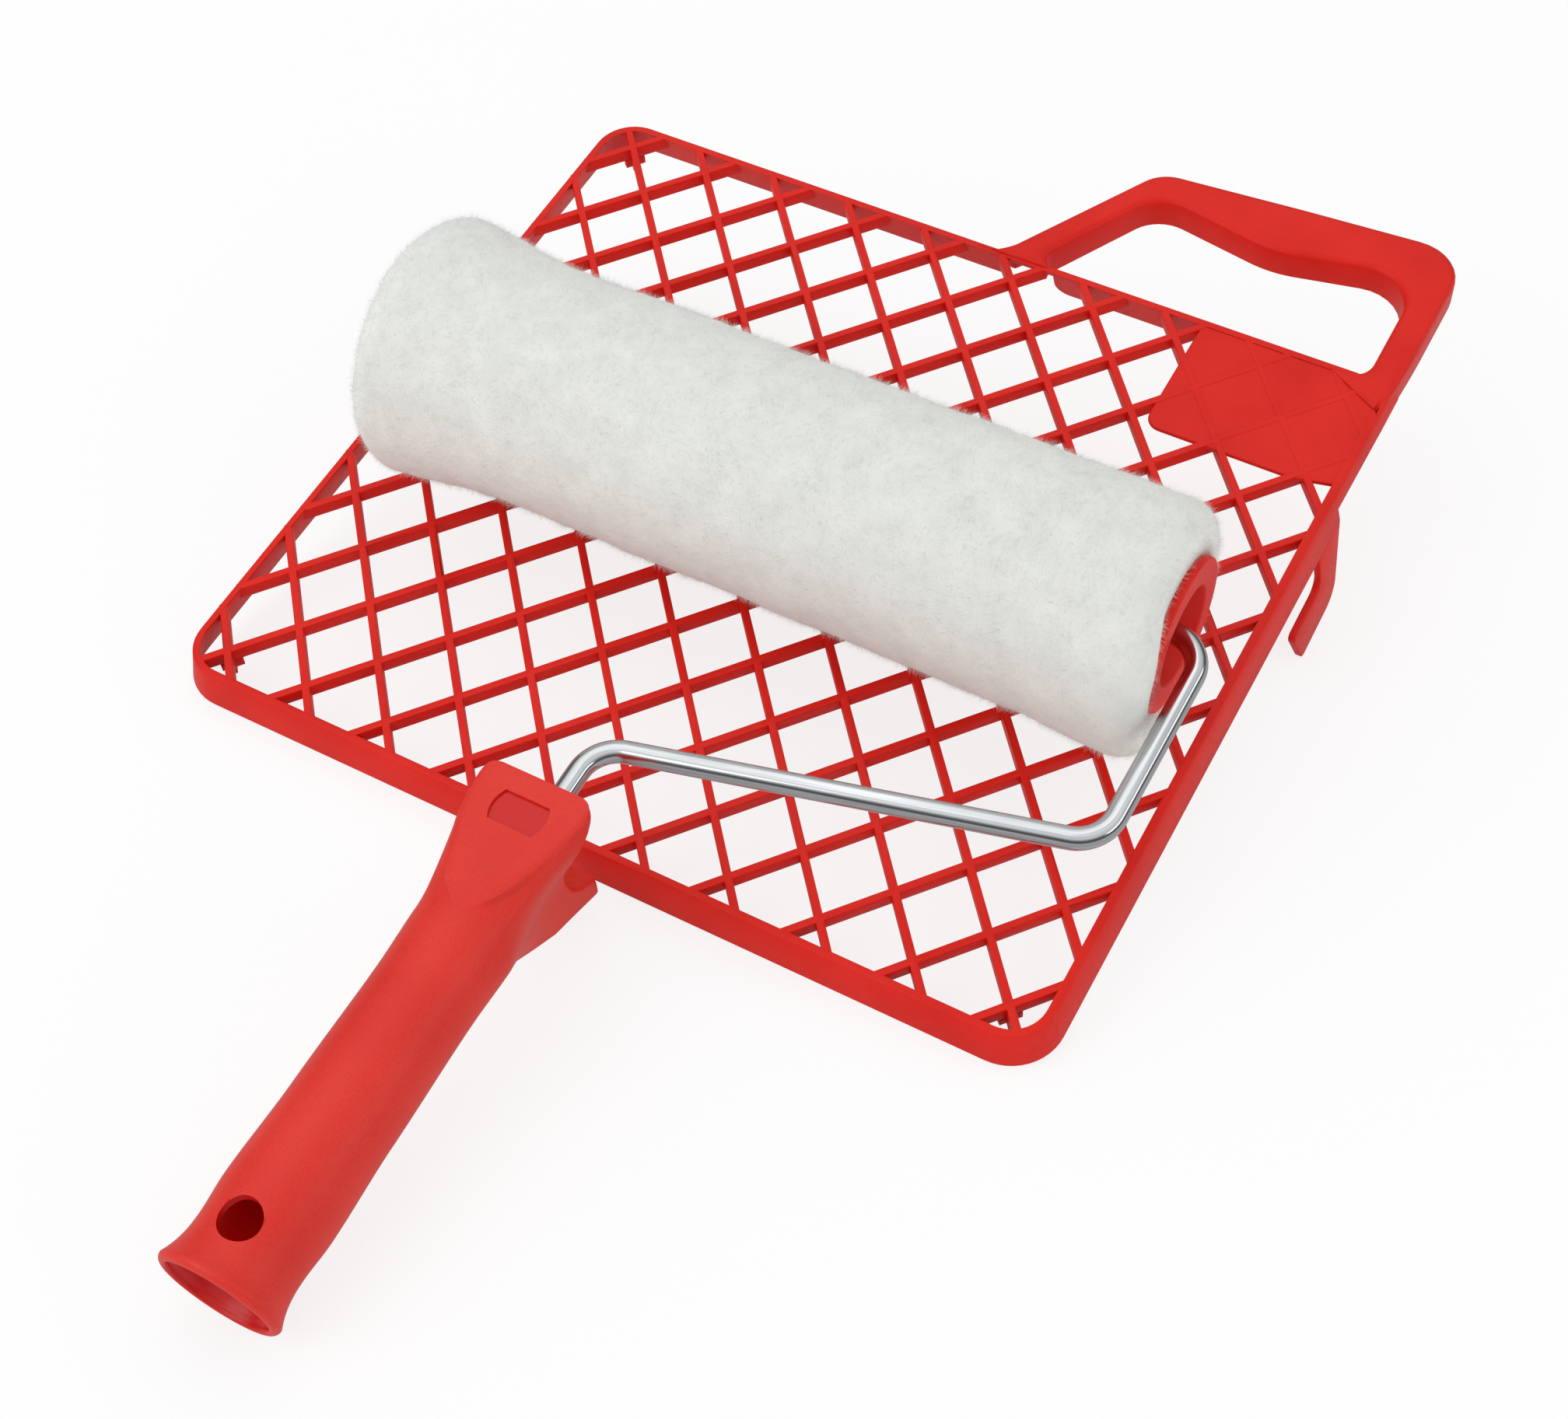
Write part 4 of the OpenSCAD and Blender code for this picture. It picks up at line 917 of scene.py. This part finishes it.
def fibreMesh(number, count):
    f = fibre
    draw = np.random.RandomState(f["seed"] + number)
    pick = draw.choice(len(rootAreas), count, p=rootAreas / rootAreas.sum())
    u, v = draw.rand(count, 1), draw.rand(count, 1)
    c = rootCorners[pick]
    root = (c[:, 0] * (1 - u) + c[:, 1] * u) * (1 - v) + (c[:, 3] * (1 - u) + c[:, 2] * u) * v
    normal = rootNormals[pick]
    along = np.tile(np.array([1.0, 0, 0]), (count, 1))
    along -= normal * (along * normal).sum(1, keepdims=True)
    short = np.linalg.norm(along, axis=1) < f["endOn"]  # on the sleeve's ends no way leads along it
    along[short] = np.cross(normal[short], [0, 0, 1.0]) + np.cross(normal[short], [0, 1.0, 0]) * f["endSwirl"]
    along /= np.linalg.norm(along, axis=1, keepdims=True)
    around = np.cross(normal, along)
    # Locks: neighbours lean the same way, with a scatter
    swirl = np.array([lockSwirl(p) for p in root])
    heading = f["heading"][0] + swirl * f["heading"][1] + draw.normal(0, f["scatter"], count)
    standing = draw.rand(count) < f["standing"]

    def between(name):
        low = np.where(standing, f["standing" + name][0], f["lying" + name][0])
        high = np.where(standing, f["standing" + name][1], f["lying" + name][1])
        return low + (high - low) * draw.rand(count)

    lean = np.radians(between("Lean"))
    flat = along * np.cos(heading)[:, None] + around * np.sin(heading)[:, None]
    up = normal * np.cos(lean)[:, None] + flat * np.sin(lean)[:, None]
    length, width = between("Length")[:, None], between("Width")[:, None]
    root = root - normal * f["sink"]
    bend = flat * f["curl"] + draw.normal(0, f["curlScatter"], (count, 3))
    mid = root + up * length * f["midAt"] + bend * length * f["midBend"]
    tip = root + up * length + bend * length * f["tipBend"] - normal * length * f["tipDroop"]
    side = np.cross(up, normal)
    side /= np.linalg.norm(side, axis=1, keepdims=True) + 1e-9
    other = np.cross(up, side)
    n = f["sides"]
    perStrand = 2 * n + 1
    points = np.zeros((count, perStrand, 3))
    for k in range(n):
        a = 2 * math.pi * k / n
        spoke = (side * math.cos(a) + other * math.sin(a)) * width
        points[:, k] = root + spoke
        points[:, n + k] = mid + spoke * f["midWidth"]
    points[:, 2 * n] = tip
    quads = np.array([[k, (k + 1) % n, n + (k + 1) % n, n + k] for k in range(n)])
    tris = np.array([[n + k, n + (k + 1) % n, 2 * n] for k in range(n)])
    base = (np.arange(count) * perStrand)[:, None, None]
    faces = (quads + base).reshape(-1, 4).tolist() + (tris + base).reshape(-1, 3).tolist()
    place = np.array(rollerPlace)
    points = points.reshape(-1, 3) @ place[:3, :3].T + place[:3, 3]
    mesh = bpy.data.meshes.new("pile_fibres_%d" % (number + 1))
    mesh.from_pydata(points, [], faces)
    # rise runs from 0 at the root to 1 at the tip; the fibre material paints shade with it at the root
    rise = np.tile(np.array([0.0] * n + [f["midAt"]] * n + [1.0]), count)
    mesh.attributes.new("rise", "FLOAT", "POINT").data.foreach_set("value", rise)
    tint = np.repeat(draw.rand(count), perStrand)
    mesh.attributes.new("tint", "FLOAT", "POINT").data.foreach_set("value", tint)
    return mesh


bmesh.ops.transform(bed, matrix=rollerPlace, verts=bed.verts)
finishPiece("pile_bed", bed, "sleeve", fleeceBase, ["pile_sleeve"], sharp=noCrease)
for number in range(fibre["pieces"]):
    strands = fibreMesh(number, fibre["perPiece"] // (1))
    placePiece(strands.name, strands, "sleeve", fleeceStrand, sharp=noCrease)
print("sleeve made")

# White paper, which glows for the eye so that it stays white round the object's soft shadow. What mirrors
# it sees it dimmer.
stage = {"floorSize": 8.0, "below": 0.0004, "paper": "#FFFFFF", "glow": 0.8, "mirroredPaper": 0.4,
         "horizon": 0.66, "sky": 0.72, "roomSpan": (0.02, 0.5), "dimBand": 0.1, "mirroredSky": 0.95,
         "bandSpan": (0.3, 0.75), "lampAim": (0, 0, 0.03)}
white = (1, 1, 1, 1)
bm = bmesh.new()
bmesh.ops.create_grid(bm, x_segments=2, y_segments=2, size=stage["floorSize"] / 2)
bmesh.ops.translate(bm, vec=(0, 0, -stage["below"]), verts=bm.verts)
floor = looseObject("floor", bm)
paper, tree = startMaterial("white_paper_sweep")
path = addNode(tree, "LightPath").outputs
seen = mathNode(tree, "MAXIMUM", path["Is Camera Ray"], path["Is Glossy Ray"])
seen = mathNode(tree, "MAXIMUM", seen, path["Is Transmission Ray"])
share = mathNode(tree, "MULTIPLY", seen, stage["glow"])
matt = addNode(tree, "BsdfDiffuse", {"Color": linear(stage["paper"])})
bright = mapped(tree, path["Is Glossy Ray"], (1.0, stage["mirroredPaper"]))
glow = addNode(tree, "Emission", {"Color": white, "Strength": bright})
mixed = addNode(tree, "MixShader", {0: share, 1: matt.outputs[0], 2: glow.outputs[0]})
addNode(tree, "OutputMaterial", {"Surface": mixed.outputs[0]})
floor.data.materials.append(paper)

world = bpy.data.worlds.new("softRoom")
scene.world = world
world.use_nodes = True
tree = world.node_tree
tree.nodes.clear()
path = addNode(tree, "LightPath").outputs
seen = mathNode(tree, "MAXIMUM", path["Is Camera Ray"], path["Is Transmission Ray"])
# The room is bright all round; what mirrors it sees a dim band at the horizon, which gives the wire its
# dark streaks
aim = addNode(tree, "SeparateXYZ", {0: addNode(tree, "TexCoord").outputs["Generated"]}).outputs["Z"]
room = mapped(tree, aim, (stage["horizon"], stage["sky"]), stage["roomSpan"], interpolation_type="SMOOTHSTEP")
band = mapped(tree, aim, (stage["dimBand"], stage["mirroredSky"]), stage["bandSpan"],
              interpolation_type="SMOOTHSTEP")
lit = addNode(tree, "Mix", {"Factor": path["Is Glossy Ray"], "A": room, "B": band})
level = addNode(tree, "Mix", {"Factor": seen, "A": lit.outputs["Result"], "B": 1.0})
air = addNode(tree, "Background", {"Color": white, "Strength": level.outputs["Result"]})
addNode(tree, "OutputWorld", {"Surface": air.outputs[0]})

lamps = {"overhead": ((-0.3, 0.1, 1.4), (1.4, 1.1), 2.5), "frontLeft": ((-0.75, -1.25, 1.0), (1.4, 1.1), 7.3),
         "right": ((1.25, 0.3, 0.6), (1.3, 0.2), 1.9)}
for name, (spot, size, power) in lamps.items():
    lamp = bpy.data.lights.new(name, "AREA")
    lamp.shape, lamp.size, lamp.size_y, lamp.energy = "RECTANGLE", size[0], size[1], power
    holder = bpy.data.objects.new(name, lamp)
    scene.collection.objects.link(holder)
    holder.location = spot
    holder.rotation_euler = (Vector(stage["lampAim"]) - Vector(spot)).to_track_quat("-Z", "Y").to_euler()

# The photograph's view, solved on the grid: the eye's place, and its right, down and forward directions
view = {"eye": (248.366, -382.037, 571.685), "right": (0.87319737, 0.4832567, -0.06316109),
        "down": (0.37060238, -0.74255974, -0.55790583), "forward": (-0.31651261, 0.46375425, -0.82749729),
        "lens": 55.97, "sensor": 36.0, "nearest": 0.01}
eye = bpy.data.cameras.new("photoView")
eye.lens, eye.sensor_width, eye.clip_start = view["lens"], view["sensor"], view["nearest"]
camera = bpy.data.objects.new("photoView", eye)
scene.collection.objects.link(camera)
axes = Matrix((view["right"], -Vector(view["down"]), -Vector(view["forward"]))).transposed()
camera.location = gridPlace @ Vector(view["eye"])
camera.rotation_euler = (Matrix.Rotation(gridTilt, 3, "X") @ axes).to_euler()
scene.camera = camera
scene.view_settings.view_transform = "Standard"
print("stage, lamps and camera set")
